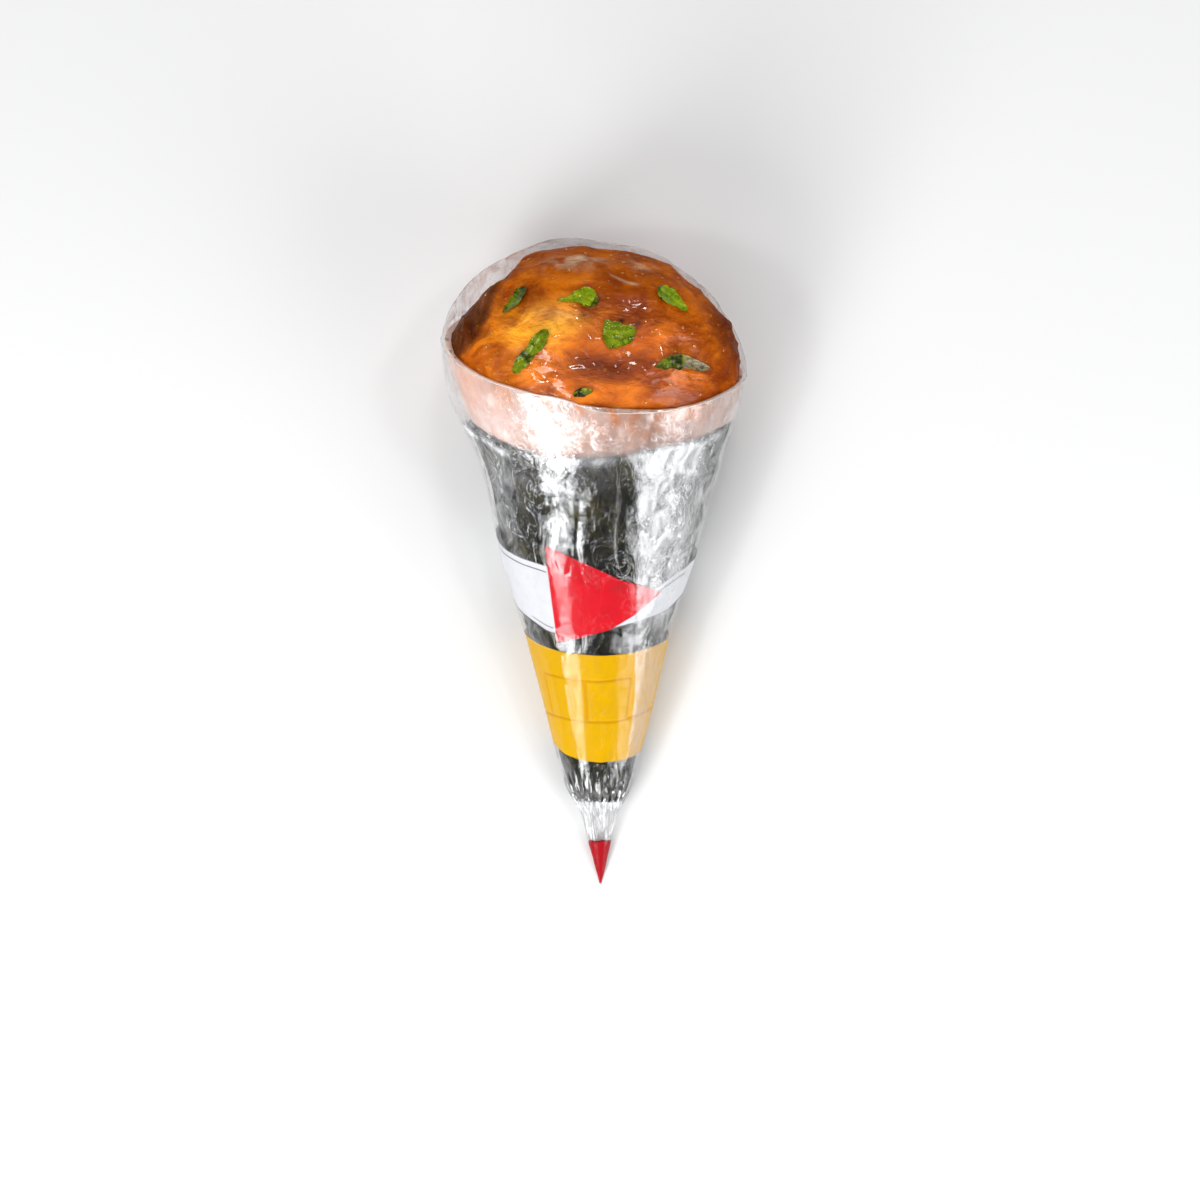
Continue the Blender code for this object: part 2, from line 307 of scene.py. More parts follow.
def grid_faces(rows, columns, closed):
    """Quads of a grid of points, row after row, closed round its columns or not."""
    last = columns if closed else columns - 1
    r, c = np.meshgrid(np.arange(rows - 1), np.arange(last), indexing="ij")
    n = (c + 1) % columns
    quads = np.stack((r * columns + c, (r + 1) * columns + c, (r + 1) * columns + n, r * columns + n), -1)
    return quads.reshape(-1, 4)


def fan(base, count, tip, flip=False):
    """Triangles from one row to a single point."""
    return [
        (base + (i + 1) % count, base + i, tip) if flip else (base + i, base + (i + 1) % count, tip)
        for i in range(count)
    ]


def capped(grid, first, last=None):
    """Points and faces of a tube of rings, closed at its first end, and at its last where one is given."""
    rows, rounds = grid.shape[:2]
    ends = (first,) if last is None else (first, last)
    points = np.vstack((grid.reshape(-1, 3), *ends))
    faces = grid_faces(rows, rounds, True).tolist() + fan(0, rounds, rows * rounds)
    if last is not None:
        faces += fan((rows - 1) * rounds, rounds, rows * rounds + 1, True)
    return points, faces


def normals_of(p):
    """Outward directions at the points of a grid that is closed round its columns."""
    along = np.gradient(p, axis=0)
    around = (np.roll(p, -1, 1) - np.roll(p, 1, 1)) / 2
    n = np.cross(along, around)
    n /= np.maximum(np.linalg.norm(n, axis=-1, keepdims=True), 1e-9)
    return n


def turn_out(piece):
    """Turns a closed mesh's faces outwards if they point in."""
    mesh = piece.data
    mesh.calc_loop_triangles()
    co = np.zeros(len(mesh.vertices) * 3)
    mesh.vertices.foreach_get("co", co)
    co = co.reshape(-1, 3)
    co = co - co.mean(0)
    tris = np.zeros(len(mesh.loop_triangles) * 3, dtype=np.int32)
    mesh.loop_triangles.foreach_get("vertices", tris)
    a, b, c = (co[tris.reshape(-1, 3)[:, i]] for i in range(3))
    if np.einsum("ij,ij->i", a, np.cross(b, c)).sum() < 0:
        mesh.flip_normals()


def finish(piece, material, slot_name, *nodes):
    """Gives a piece its material and body, and hides the nodes that it stands for."""
    if material is not None:
        piece.data.materials.clear()
        piece.data.materials.append(material)
    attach(piece, "root")
    if nodes:
        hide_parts(*nodes)
    return piece


# Materials


class Nodes:
    """Short calls for a node tree."""

    def __init__(self, tree):
        self.tree = tree

    def node(self, kind, **settings):
        """A new node with its settings, and with values or links for its inputs."""
        made = self.tree.nodes.new(kind)
        for key, value in settings.items():
            if hasattr(made, key):
                setattr(made, key, value)
            else:
                self.put(made.inputs[key.replace("_", " ")], value)
        return made

    def put(self, socket, value):
        """A value on a socket, or a link to it from another node's output."""
        if isinstance(value, bpy.types.NodeSocket):
            self.tree.links.new(value, socket)
        elif isinstance(value, tuple) and socket.type == "RGBA":
            socket.default_value = (*value, 1.0)
        else:
            socket.default_value = value


class Mixer(Nodes):
    """Short calls for a material's node tree."""

    def __init__(self, name):
        self.material = bpy.data.materials.new(name)
        self.material.use_nodes = True
        super().__init__(self.material.node_tree)
        self.shader = self.tree.nodes["Principled BSDF"]

    def noise(self, scale, detail=3.0, rough=0.5, stretch=(1.0, 1.0, 1.0), distortion=0.0):
        """Noise on stretched Object coordinates."""
        at = self.node("ShaderNodeTexCoord").outputs["Object"]
        place = self.node("ShaderNodeMapping", Scale=stretch, Vector=at).outputs["Vector"]
        return self.node("ShaderNodeTexNoise", Scale=scale, Detail=detail, Roughness=rough, Distortion=distortion,
                         Vector=place).outputs["Fac"]

    def attribute(self, name, output="Fac"):
        """A number or colour that the piece's points carry."""
        return self.node("ShaderNodeAttribute", attribute_name=name).outputs[output]

    def maths(self, operation, a, b=None, c=None, clamp=False):
        """One sum with up to three values or links."""
        made = self.node("ShaderNodeMath", operation=operation, use_clamp=clamp)
        for socket, value in zip(made.inputs, (a, b, c)):
            if value is not None:
                self.put(socket, value)
        return made.outputs[0]

    def range(self, value, low, high, new_low=0.0, new_high=1.0):
        """A value from low to high, stretched to run from new_low to new_high."""
        return self.node("ShaderNodeMapRange", Value=value, From_Min=low, From_Max=high, To_Min=new_low,
                         To_Max=new_high).outputs["Result"]

    def blend(self, factor, a, b, mode="MIX"):
        """Colour b over colour a by a factor."""
        made = self.node("ShaderNodeMix", data_type="RGBA", blend_type=mode)
        for socket, value in ((made.inputs[0], factor), (made.inputs[6], a), (made.inputs[7], b)):
            self.put(socket, value)
        return made.outputs[2]

    def bump(self, *layers):
        """Layers of (height, depth in metres), each over the one before."""
        last = None
        for height, depth in layers:
            made = self.node("ShaderNodeBump", Strength=1.0, Distance=depth, Height=height)
            if last is not None:
                self.put(made.inputs["Normal"], last)
            last = made.outputs["Normal"]
        self.put(self.shader.inputs["Normal"], last)
        return last

    def set(self, **values):
        """Values or links for the shader's own sockets."""
        for key, value in values.items():
            self.put(self.shader.inputs[key.replace("_", " ")], value)


# How a material's noise is stretched: below 1 it runs along the roll, above 1 across it
LONG, DRAWN, SLIGHT, EVEN, SQUEEZED = ((1.0, y, 1.0) for y in (0.45, 0.5, 0.6, 1.0, 1.5))


def clear_film_material():
    """Clear film, seen by its gloss and fine scratch lines, with painted glare and glints in white patches and a
    painted sheen over its right side, where it lies loose.
    """
    m = Mixer("clear_film")
    m.set(Base_Color=(0.86, 0.87, 0.89))
    shown = m.maths("MULTIPLY_ADD", m.attribute("clear"), -1.0, 1.0, clamp=True)
    crumpled = m.noise(520.0, 5.0, 0.62, (1.0, 0.55, 1.0), 1.0)
    tilt = m.bump((m.maths("MULTIPLY", crumpled, shown), 0.00013))
    edge = m.node("ShaderNodeLayerWeight", Blend=0.34, Normal=tilt)
    cloud = m.range(m.noise(210.0, 6.0, 0.66, DRAWN, 1.0), 0.38, 0.66, 0.12, 1.0)
    # painted glare: white film where the lamps would glare, broken up by noise
    glare_and_scratches = m.maths("MULTIPLY", m.maths("MULTIPLY", m.attribute("painted_glare"), cloud), 0.5)
    # fine scratch lines, partly painted glints, as they gather where the painted glare lies
    line = m.maths("ABSOLUTE", m.maths("SUBTRACT", m.noise(150.0, 4.0, 0.6, SLIGHT, 1.4), 0.5))
    scratch = m.maths("MULTIPLY", m.range(line, 0.0, 0.011, 1.0, 0.0), m.attribute("crinkle"))
    glare_and_scratches = m.maths("ADD", glare_and_scratches, m.maths("MULTIPLY", scratch, 0.6))
    # painted sheen over the right side, where the film lies loose
    glare_and_scratches = m.maths("ADD", glare_and_scratches, m.maths("MULTIPLY", m.attribute("painted_sheen_right"), m.range(cloud, 0.0, 1.0, 0.75, 1.1)))
    patchy = m.range(m.noise(330.0, 5.0, 0.65, DRAWN, 1.0), 0.38, 0.60, 0.35, 1.5)
    gloss = m.maths("MINIMUM", m.maths("MULTIPLY_ADD", edge.outputs["Fresnel"], 1.1, 0.075), 0.42)
    gloss = m.maths("MULTIPLY", gloss, patchy)
    m.set(Alpha=m.maths("MULTIPLY", m.maths("ADD", gloss, glare_and_scratches, clamp=True), shown))
    m.set(Metallic=m.maths("DIVIDE", gloss, m.maths("ADD", gloss, glare_and_scratches)))
    m.set(Roughness=m.range(m.noise(120.0, 4.0, 0.6), 0.35, 0.7, 0.6 * FILM_ROUGHNESS, 1.5 * FILM_ROUGHNESS))
    return m.material


def printed_material(name, colour, shade):
    """Ink on the film in two close tones. Returns its mixer and its colour's output."""
    m = Mixer(name)
    fine = m.noise(700.0, 3.0)
    tone = m.blend(m.range(m.noise(55.0, 4.0, 0.6), 0.35, 0.7, 0.0, 0.5), colour, shade)
    m.set(Base_Color=tone, Specular_IOR_Level=0.06)
    m.set(Roughness=m.range(fine, 0.3, 0.7, 0.8 * PRINT_ROUGHNESS, 1.2 * PRINT_ROUGHNESS))
    m.bump((fine, 0.00003))
    return m, tone


def seaweed_material(olive, dark):
    """Dried seaweed: dark fibres along the roll, with olive clumps and paler flecks."""
    m = Mixer("dried_seaweed")
    fibre = m.noise(420.0, 6.0, 0.66, LONG, 1.2)
    clump = m.noise(150.0, 5.0, 0.62, (1.0, 0.7, 1.0), 0.8)
    fleck = m.noise(1300.0, 4.0, 0.7, SLIGHT, 0.8)
    tone = m.blend(m.range(fibre, 0.44, 0.62), dark, olive)
    tone = m.blend(m.range(clump, 0.50, 0.68, 0.0, 0.75), tone, (0.058, 0.050, 0.015))
    bright = m.maths("MULTIPLY", m.range(fleck, 0.58, 0.70), m.range(clump, 0.42, 0.60))
    tone = m.blend(m.maths("MULTIPLY", bright, 0.7), tone, (0.34, 0.28, 0.10))
    m.set(Base_Color=tone, Roughness=m.range(fibre, 0.35, 0.7, 0.35, 0.65), Specular_IOR_Level=0.07)
    m.bump((clump, 0.0005), (fibre, 0.0005), (fleck, 0.00015))
    return m.material


def salmon_material():
    """Salmon under glaze: its tints with darker blotches and pale streaks, wet where it faces up."""
    m = Mixer("glazed_salmon_flesh")
    tint = m.attribute("tint", "Color")
    streak = m.noise(150.0, 3.0, 0.5, SQUEEZED, 0.4)
    blotch = m.noise(85.0, 4.0, 0.6, SQUEEZED, 0.8)
    grit = m.noise(700.0, 3.0, 0.55, SQUEEZED, 0.4)
    light = m.blend(m.range(blotch, 0.36, 0.62), (0.58, 0.42, 0.32), (1.25, 1.28, 1.2))
    tone = m.blend(1.0, tint, light, "MULTIPLY")
    flow = m.blend(m.range(streak, 0.36, 0.64), (0.84, 0.74, 0.64), (1.20, 1.26, 1.35))
    tone = m.blend(1.0, tone, flow, "MULTIPLY")
    tone = m.blend(m.range(grit, 0.62, 0.72, 0.0, 0.15), tone, (0.93, 0.50, 0.14))
    steep = m.node("ShaderNodeLayerWeight", Blend=0.5).outputs["Facing"]
    m.set(Base_Color=tone, Roughness=m.range(streak, 0.3, 0.7, 0.3, 0.5))
    m.set(Specular_IOR_Level=m.range(steep, 0.14, 0.30, 0.25, 0.01))
    m.set(Subsurface_Weight=0.12, Subsurface_Radius=(0.003, 0.0009, 0.0003), Subsurface_Scale=1.0)
    wet = m.range(m.noise(200.0, 4.0, 0.6), 0.40, 0.56, 0.3, 1.0)
    m.set(Coat_Roughness=0.06)
    shown = m.maths("MULTIPLY", m.range(steep, 0.05, 0.18, 1.0, 0.3), m.range(steep, 0.28, 0.42, 1.0, 0.0))
    m.set(Coat_Weight=m.maths("MULTIPLY", wet, shown))
    m.bump((blotch, 0.0013), (streak, 0.00085), (grit, 0.00022))
    return m.material


def filling_material():
    """Rice and salmon pressed to a soft mass, paler and redder in turn."""
    m = Mixer("rice_and_salmon_filling")
    tint = m.attribute("tint", "Color")
    soft = m.noise(260.0, 4.0, 0.55, SLIGHT, 0.4)
    tone = m.blend(m.range(soft, 0.5, 0.72, 0.0, 0.5), tint, (0.82, 0.66, 0.60))
    tone = m.blend(m.range(soft, 0.45, 0.28, 0.0, 0.5), tone, (0.62, 0.32, 0.22))
    m.set(Base_Color=tone, Roughness=0.42, Coat_Weight=0.4, Coat_Roughness=0.15)
    m.set(Subsurface_Weight=0.3, Subsurface_Radius=(0.004, 0.002, 0.0014), Subsurface_Scale=1.0)
    m.bump((soft, 0.0006), (m.noise(900.0, 3.0), 0.0001))
    return m.material


def herb_material():
    """A moist herb leaf, with yellower and darker mottling over its tint."""
    m = Mixer("herb_leaf")
    tint = m.attribute("tint", "Color")
    mottled = m.noise(620.0, 4.0, 0.6, EVEN, 0.7)
    tone = m.blend(m.range(mottled, 0.48, 0.72, 0.0, 0.7), tint, (0.30, 0.33, 0.006))
    tone = m.blend(m.range(mottled, 0.47, 0.3, 0.0, 0.8), tone, (0.018, 0.045, 0.002))
    m.set(Base_Color=tone, Roughness=0.4, Specular_IOR_Level=0.08, Coat_Weight=0.4, Coat_Roughness=0.05)
    m.set(Subsurface_Weight=0.1, Subsurface_Radius=(0.0006, 0.001, 0.0003), Subsurface_Scale=1.0)
    m.bump((mottled, 0.0009), (m.noise(1500.0, 2.0), 0.00015))
    return m.material


def glaze_bead_material():
    """Clear orange sauce in small drops."""
    m = Mixer("glaze_beads")
    cloud = m.noise(300.0, 2.0)
    m.set(Base_Color=m.blend(m.range(cloud, 0.4, 0.6), (0.50, 0.14, 0.008), (0.60, 0.19, 0.012)))
    m.set(Roughness=0.08, Coat_Weight=1.0, Coat_Roughness=0.03)
    m.set(Subsurface_Weight=0.3, Subsurface_Radius=(0.002, 0.001, 0.0005), Subsurface_Scale=1.0)
    return m.material


# Sizes and colours that a user would change


class HandRollSizes(bpy.types.PropertyGroup):
    film_wrinkle: bpy.props.FloatProperty(
        name="Film wrinkle", description="Depth of the film's long creases", default=0.00042,
        min=0.0, max=0.001, subtype="DISTANCE", unit="LENGTH")
    seaweed_relief: bpy.props.FloatProperty(
        name="Seaweed relief", description="Depth of the seaweed's fibres", default=0.00022,
        min=0.0, max=0.0005, subtype="DISTANCE", unit="LENGTH")
    salmon_relief: bpy.props.FloatProperty(
        name="Salmon relief", description="Depth of the salmon's small folds", default=0.00055,
        min=0.0, max=0.0015, subtype="DISTANCE", unit="LENGTH")
    glaze_bead: bpy.props.FloatProperty(
        name="Glaze bead", description="Radius of a bead of glaze", default=0.00034,
        min=0.0001, max=0.001, subtype="DISTANCE", unit="LENGTH")


class HandRollColours(bpy.types.PropertyGroup):
    band_white: bpy.props.FloatVectorProperty(
        name="White band", description="Colour of the film's white band", subtype="COLOR",
        default=(0.62, 0.63, 0.66), min=0.0, max=1.0)
    pennant_red: bpy.props.FloatVectorProperty(
        name="Red pennant", description="Colour of the pennant and the tip", subtype="COLOR",
        default=(0.58, 0.009, 0.018), min=0.0, max=1.0)
    band_yellow: bpy.props.FloatVectorProperty(
        name="Yellow band", description="Colour of the film's yellow band", subtype="COLOR",
        default=(0.60, 0.335, 0.0), min=0.0, max=1.0)
    seaweed_olive: bpy.props.FloatVectorProperty(
        name="Seaweed olive", description="The seaweed's lighter tone", subtype="COLOR",
        default=(0.026, 0.023, 0.011), min=0.0, max=1.0)
    seaweed_dark: bpy.props.FloatVectorProperty(
        name="Seaweed dark", description="The seaweed's darker tone", subtype="COLOR",
        default=(0.004, 0.004, 0.003), min=0.0, max=1.0)


def film_depth(angle, y, wrinkle):
    """How far the film lies inside its cone, in millimetres: soft waves, few sharp creases and pleats."""
    half = outline(y)[1]
    along = y + 0 * angle
    c, s = np.cos(angle) * half, np.sin(angle) * half
    bend = 2.6 * smooth_noise(np.stack((c / 15, s / 15, along / 19), -1), 3)
    waves = smooth_noise(np.stack((c / 12, s / 12, along / 26), -1), 21)
    long_ = creased(np.stack(((c + bend) / 8.5, (s + bend) / 8.5, along / 30), -1), 5) ** 2
    fine = creased(np.stack(((c - bend) / 4.5, (s + bend) / 4.5, along / 9), -1), 9) ** 2
    dent = rough_noise(np.stack((c / 4.5, s / 4.5, along / 6.5), -1), 3, 23)
    rough = np.clip(0.5 + 0.9 * smooth_noise(np.stack((c / 16, s / 16, along / 22), -1), 29), 0.12, 1)
    degrees = np.degrees(angle) % 360
    low, high = shaped(degrees, YELLOW_LOW), shaped(degrees, YELLOW_TOP)
    printed = ramp(along, low - 2, low + 2) * (1 - ramp(along, high - 1, high + 2))
    low, high = shaped(degrees, WHITE_LOW), shaped(degrees, WHITE_TOP)
    white = ramp(along, low - 1, low + 2) * (1 - ramp(along, high - 2, high + 1))
    stiff = 1 - 0.8 * np.maximum(printed, white)
    line = bell(along, 14.3 + (66 - degrees) * 0.16, 0.7) * ramp(degrees, 20, 32) * (1 - ramp(degrees, 64, 70))
    band = bell(along, shaped(degrees, NORI_EDGE) + 0.8, 1.6) * (0.6 + 0.4 * dent)
    sway = 1.7 * smooth_noise(np.stack((c, s, along / 9), -1), 2)
    pleats = 0.5 + 0.5 * np.cos(PLEATS * angle + sway)
    gathered = ramp(-along, 45.5, 53) * (1 - 0.85 * ramp(-along, 60, 64))
    crimp = bell(along, -54.3, 1.4)
    depth = wrinkle * stiff * (0.55 * waves + 0.42 * long_ + rough * (0.30 * fine + 0.22 * dent))
    depth = depth + 0.16 * line * stiff + 0.12 * band
    depth = depth + gathered * pleats * np.clip(half * 0.05, 0.04, 0.36) + crimp * pleats * 0.5
    return np.clip(depth, -0.12, 0.85)


def lip_push(angle):
    """Way in which the lip rises and falls round the mouth."""
    return np.stack((0 * angle, 1 + 0 * angle, 0.5 * np.sin(angle)), -1)


def film_surface(rounds, along, flap_rows, wrinkle):
    """Grid of the whole film: the cone from tip to mouth, then the lip and the back wall."""
    angle = ring_angles(rounds)
    edge = mouth_ring(angle, MOUTH_Y, 0.0)
    share = (np.linspace(0, 1, along) ** 0.9)[:, None]
    y = TIP_Y + (edge[None, :, 1] - TIP_Y) * share
    cone = on_cone(angle[None, :], y, 0.0)
    degrees = np.degrees(angle)
    reach = np.where(degrees < 180, 90.0, shaped(degrees, BACK_WALL))
    rise = shaped(degrees, LIP_RISE)
    middle = mouth_middle(MOUTH_Y)
    rows = []
    for i in range(1, flap_rows + 1):
        t = i / flap_rows
        lift = t * np.radians(90 - reach)
        spread = 1 + 0.11 * bell(degrees, 218, 22) * np.sin(np.minimum(lift * 3, 1.57))
        spread = spread - 0.032 * bell(degrees, 320, 34) * np.minimum(lift * 4, 1)
        out = (DOME + 0.15 + 0.9 * bell(degrees, 225, 30)) * np.sin(lift)
        point = middle + (edge - middle) * (bulge(lift) * spread)[:, None] + OUT * out[:, None]
        point = point + lip_push(angle) * (t * rise)[:, None]
        point[:, 2] = np.maximum(point[:, 2], 0.05)
        rows.append(point)
    grid = np.concatenate((cone, np.array(rows)))
    depth = np.zeros(grid.shape[:2])
    depth[:along] = film_depth(angle[None, :] + 0 * y, y, wrinkle)
    flap = grid[along:]
    crumple = rough_noise(flap / 6.0, 3, 31) * 0.55 + 0.5 * creased(flap / (5.0, 5.0, 9.0), 37)
    fade = np.linspace(0, 1, flap_rows)[:, None]
    loose = np.where(degrees < 180, 0.0, 0.55)[None, :]
    depth[along:] = depth[along - 1] * (1 - fade) + loose * crumple * fade * wrinkle / 0.42
    grid = grid - normals_of(grid) * depth[..., None]
    grid[..., 2] = np.maximum(grid[..., 2], 0.02)
    return grid, degrees


def crease_line(y):
    """Where the crease at the salmon's left runs, as x at y."""
    return np.interp(y, [p[1] for p in CREASE], [p[0] for p in CREASE])


def fold_height(x, y):
    """Folds and hollows over the salmon, in millimetres."""
    total = 0.0
    for *oval, height in FOLDS:
        total = total + height * spot(x, y, *oval)
    total = total - CREASE_DROP * 0.5 * (1 - np.tanh((x - crease_line(y)) / 0.8))
    return total + 0.35 * np.sin(0.31 * x + 0.55 * y) * np.sin(0.42 * x - 0.21 * y + 1.0)


def salmon_surface(rounds, rows, relief):
    """Grid of the salmon heap from its rim inside the lip to the far end of its bulge."""
    angle = ring_angles(rounds)
    middle = mouth_middle(HEAP_Y)
    edge = mouth_ring(angle, HEAP_Y, HEAP_INSET)
    grid = []
    for i in range(rows):
        lift = math.radians(89.6) * i / (rows - 1)
        point = middle + (edge - middle) * bulge(lift) + OUT * (DOME + FLAP_GAP) * math.sin(lift)
        away = point - middle
        away = away / np.linalg.norm(away, axis=-1, keepdims=True)
        fade = min(1.0, 2.2 * math.sin(lift))
        low = np.clip((point[:, 2] - 20.0) / 12.0, 0, 1)
        bump = fold_height(point[:, 0], point[:, 1])
        bump = np.where(bump < 0, bump, bump * (0.35 + 0.65 * low)) * fade
        warp = 3.0 * smooth_noise(point / 13.0, 40)
        x, y, z = point[:, 0] + warp, point[:, 1] - warp, point[:, 2]
        flakes = creased(np.stack((x / 11.0, y / 4.6, z / 9.0), -1), 43)
        small = rough_noise(point / (4.2, 2.6, 3.2), 3, 47)
        fine = relief * (0.8 * (flakes - 0.4) + 0.75 * small) * (0.25 + 0.75 * min(1.0, 4 * math.sin(lift)))
        grid.append(point + away * (bump + fine)[:, None])
    return np.array(grid)


# Patches of the salmon's tone, some of them painted light and painted shade: strength, x, y, radius x, radius y, turn
# in degrees, colour
SALMON_PATCHES_WITH_LIGHT_AND_SHADE = (
    # painted light on the salmon's left: a yellow painted highlight, then lit bright orange
    (0.95, -13.5, 53, 7.5, 4.4, 14, (1.0, 0.50, 0.05)),
    (0.8, -17.5, 49, 3.0, 7, -25, (0.90, 0.36, 0.018)),
    # the salmon's own tone
    (0.85, 3, 36.5, 13, 3.2, 0, (0.58, 0.150, 0.002)),
    # painted shade in the salmon's hollow
    (0.75, 0, 44.6, 13, 4.2, -4, (0.33, 0.062, 0.004)),
    (0.8, -0.5, 44.3, 6.5, 2.6, -4, (0.13, 0.018, 0.002)),
    # the salmon's own tones
    (0.55, 9, 49, 9, 5, 10, (0.50, 0.110, 0.006)),
    (0.6, -14, 40.0, 8, 2.2, 12, (0.42, 0.085, 0.004)),
    (0.7, -2, 64, 16, 5.0, 0, (0.72, 0.185, 0.004)),
    (0.6, 16, 58, 9, 7, -30, (0.56, 0.130, 0.005)),
    # painted shade in a strip along the salmon's right edge
    (0.9, 29.5, 52, 3.0, 15, 25, (0.13, 0.023, 0.002)),
)
DARK_SPECKS = (
    (0.95, 4.8, 54.1, 0.8, 0.7, 0, (0.028, 0.011, 0.002)),
    (0.8, 8.5, 53.4, 0.9, 0.8, 0, (0.083, 0.014, 0.004)),
)
HEAP_END_TINT = (0.5, 0.14, 0.02)
FILLING_END_TINT = (0.8, 0.6, 0.5)


def salmon_tint(p):
    """Tones of the glazed salmon, with painted light and painted highlights at its left and top, and painted shade
    that makes it dark red-brown in its hollow, along its right edge and in the pocket at its left.
    """
    x, y, z = p[..., 0], p[..., 1], p[..., 2]
    paint = Paint((0.45, 0.106, 0.004), p)
    mottled = rough_noise(p / (7.0, 4.0, 6.0), 3, 51)
    flake = rough_noise(np.stack((x / 6.5, y / 2.4, z / 5.0), -1), 3, 57)
    paint.over(1.1 * (flake - 0.12), (0.64, 0.175, 0.008))
    paint.over(1.2 * (-flake - 0.12), (0.30, 0.055, 0.004))
    # painted light: the salmon's left side brighter orange, as lit from the left
    painted_light_left = 0.95 * spot(x, y, -15, 48, 10, 12, 20) + 0.5 * mottled * spot(x, y, -15, 48, 14, 14)
    paint.over(painted_light_left, (0.72, 0.205, 0.004))
    for strength, *oval, colour in SALMON_PATCHES_WITH_LIGHT_AND_SHADE:
        paint.over(strength * spot(x, y, *oval), colour)
    # painted highlight: a thin golden streak in the lit left
    paint.over(0.85 * spot(x, y, -9.5, 55.4, 5.2, 1.1, -8) * (0.6 + 0.9 * mottled), (0.83, 0.52, 0.20))
    # painted highlight: pale patches of the film's glare over the salmon's top
    pale = np.clip(0.55 + 1.5 * rough_noise(p / (2.2, 1.6, 2.2), 3, 59), 0, 1) * ramp(z, 33, 38)
    far = spot(x, y, -5.5, 68.6, 5.6, 2.2, 8) + 0.7 * spot(x, y, 9.5, 68.0, 2.8, 1.8, -12)
    paint.over(0.95 * pale * far, (1.0, 0.86, 0.78))
    # painted highlight: a thin pale streak of glare across the salmon's upper back
    arc = bell(y, 64.9 - 0.62 * (x - 2.2) + 0.035 * (x - 2.2) ** 2, 0.32)
    paint.over(0.9 * arc * ramp(x, 1.6, 3.0) * (1 - ramp(x, 7.0, 9.6)), (0.95, 0.74, 0.66))
    for strength, *oval, colour in DARK_SPECKS:
        paint.over(strength * spot(x, y, *oval), colour)
    # painted shade: the salmon dark brown left of its crease, in the pocket under the film
    painted_shade_pocket = 0.5 * (1 - np.tanh((x - crease_line(y) + 0.6) / 0.7)) * ramp(y, 44, 48) * ramp(z, 14, 24)
    paint.over(0.92 * painted_shade_pocket, (0.069, 0.0173, 0.00225))
    paint.over(0.5 * painted_shade_pocket * np.clip(mottled + 0.4, 0, 1), (0.276, 0.072, 0.00675))
    return paint.tone * (0.99, 0.91, 0.74)


def tinted(colours, end):
    """Colours of a capped tube: its grid's, then one for each end point."""
    return np.vstack((colours.reshape(-1, 3), end, end))


SALMON_TREE = {}
PLUMB_TOP = 200.0


def top_of_salmon(x, y):
    """Height and upright share of the slope under a plumb line, in millimetres."""
    at, normal, _, _ = SALMON_TREE["tree"].ray_cast(Vector((x, y, PLUMB_TOP)), Vector((0, 0, -1)))
    if at is None:
        raise RuntimeError(f"nothing carries a herb piece at {x:.1f}, {y:.1f}")
    return at.z, max(abs(normal.z), 0.35)


# Herb pieces: spine, half widths along it, colour, shares of its length between which it is dark, and past
# which it is withered
HERBS = (
    dict(name="herb_1", spine=((-21.6, 56.1), (-19.8, 58.0), (-17.9, 60.3), (-16.7, 61.9)),
         width=(0.25, 0.9, 1.25, 0.75), colour=(0.12, 0.18, 0.002), dark=(0.62, 1.0)),
    dict(name="herb_2", spine=((-9.6, 58.6), (-6.6, 58.8), (-3.4, 59.6), (-0.4, 58.0)),
         width=(0.16, 0.55, 2.35, 1.3), colour=(0.27, 0.38, 0.003), dark=(0.88, 1.0)),
    dict(name="herb_3", spine=((12.9, 61.9), (14.6, 60.9), (16.8, 58.9), (19.6, 56.7)),
         width=(0.7, 1.9, 1.35, 0.45), colour=(0.24, 0.36, 0.003), dark=(0.0, 0.12)),
    dict(name="herb_4", spine=((-19.2, 42.6), (-17.4, 44.9), (-14.2, 48.6), (-11.6, 51.9)),
         width=(0.8, 1.35, 1.45, 1.35), colour=(0.12, 0.17, 0.001), dark=(0.38, 0.50)),
    dict(name="herb_5", spine=((0.6, 51.0), (2.6, 51.2), (5.2, 51.0), (7.9, 52.3)),
         width=(1.9, 3.3, 2.7, 0.5), colour=(0.14, 0.20, 0.001), dark=(2.0, 3.0)),
    dict(name="herb_6", spine=((12.3, 43.9), (15.2, 44.9), (18.6, 45.2), (24.6, 43.9)),
         width=(0.5, 1.35, 1.75, 0.6), colour=(0.075, 0.10, 0.003), dark=(0.40, 0.60), withered=0.63),
    dict(name="herb_7", spine=((-5.9, 37.5), (-4.6, 38.1), (-3.0, 38.3), (-1.6, 38.5)),
         width=(0.5, 0.9, 0.85, 0.3), colour=(0.030, 0.050, 0.006), dark=(0.0, 0.5)),
)


def through(points, t):
    """A smooth path through points, at shares t from 0 to 1."""
    p = np.array(points, dtype=float)
    knots = np.linspace(0, 1, len(p))
    fine = np.linspace(0, 1, 61)
    dense = np.stack([np.interp(fine, knots, p[:, i]) for i in range(p.shape[1])], -1)
    for _ in range(60):
        dense[1:-1] = (dense[:-2] + 2 * dense[1:-1] + dense[2:]) / 4
    return np.stack([np.interp(t, fine, dense[:, i]) for i in range(p.shape[1])], -1)


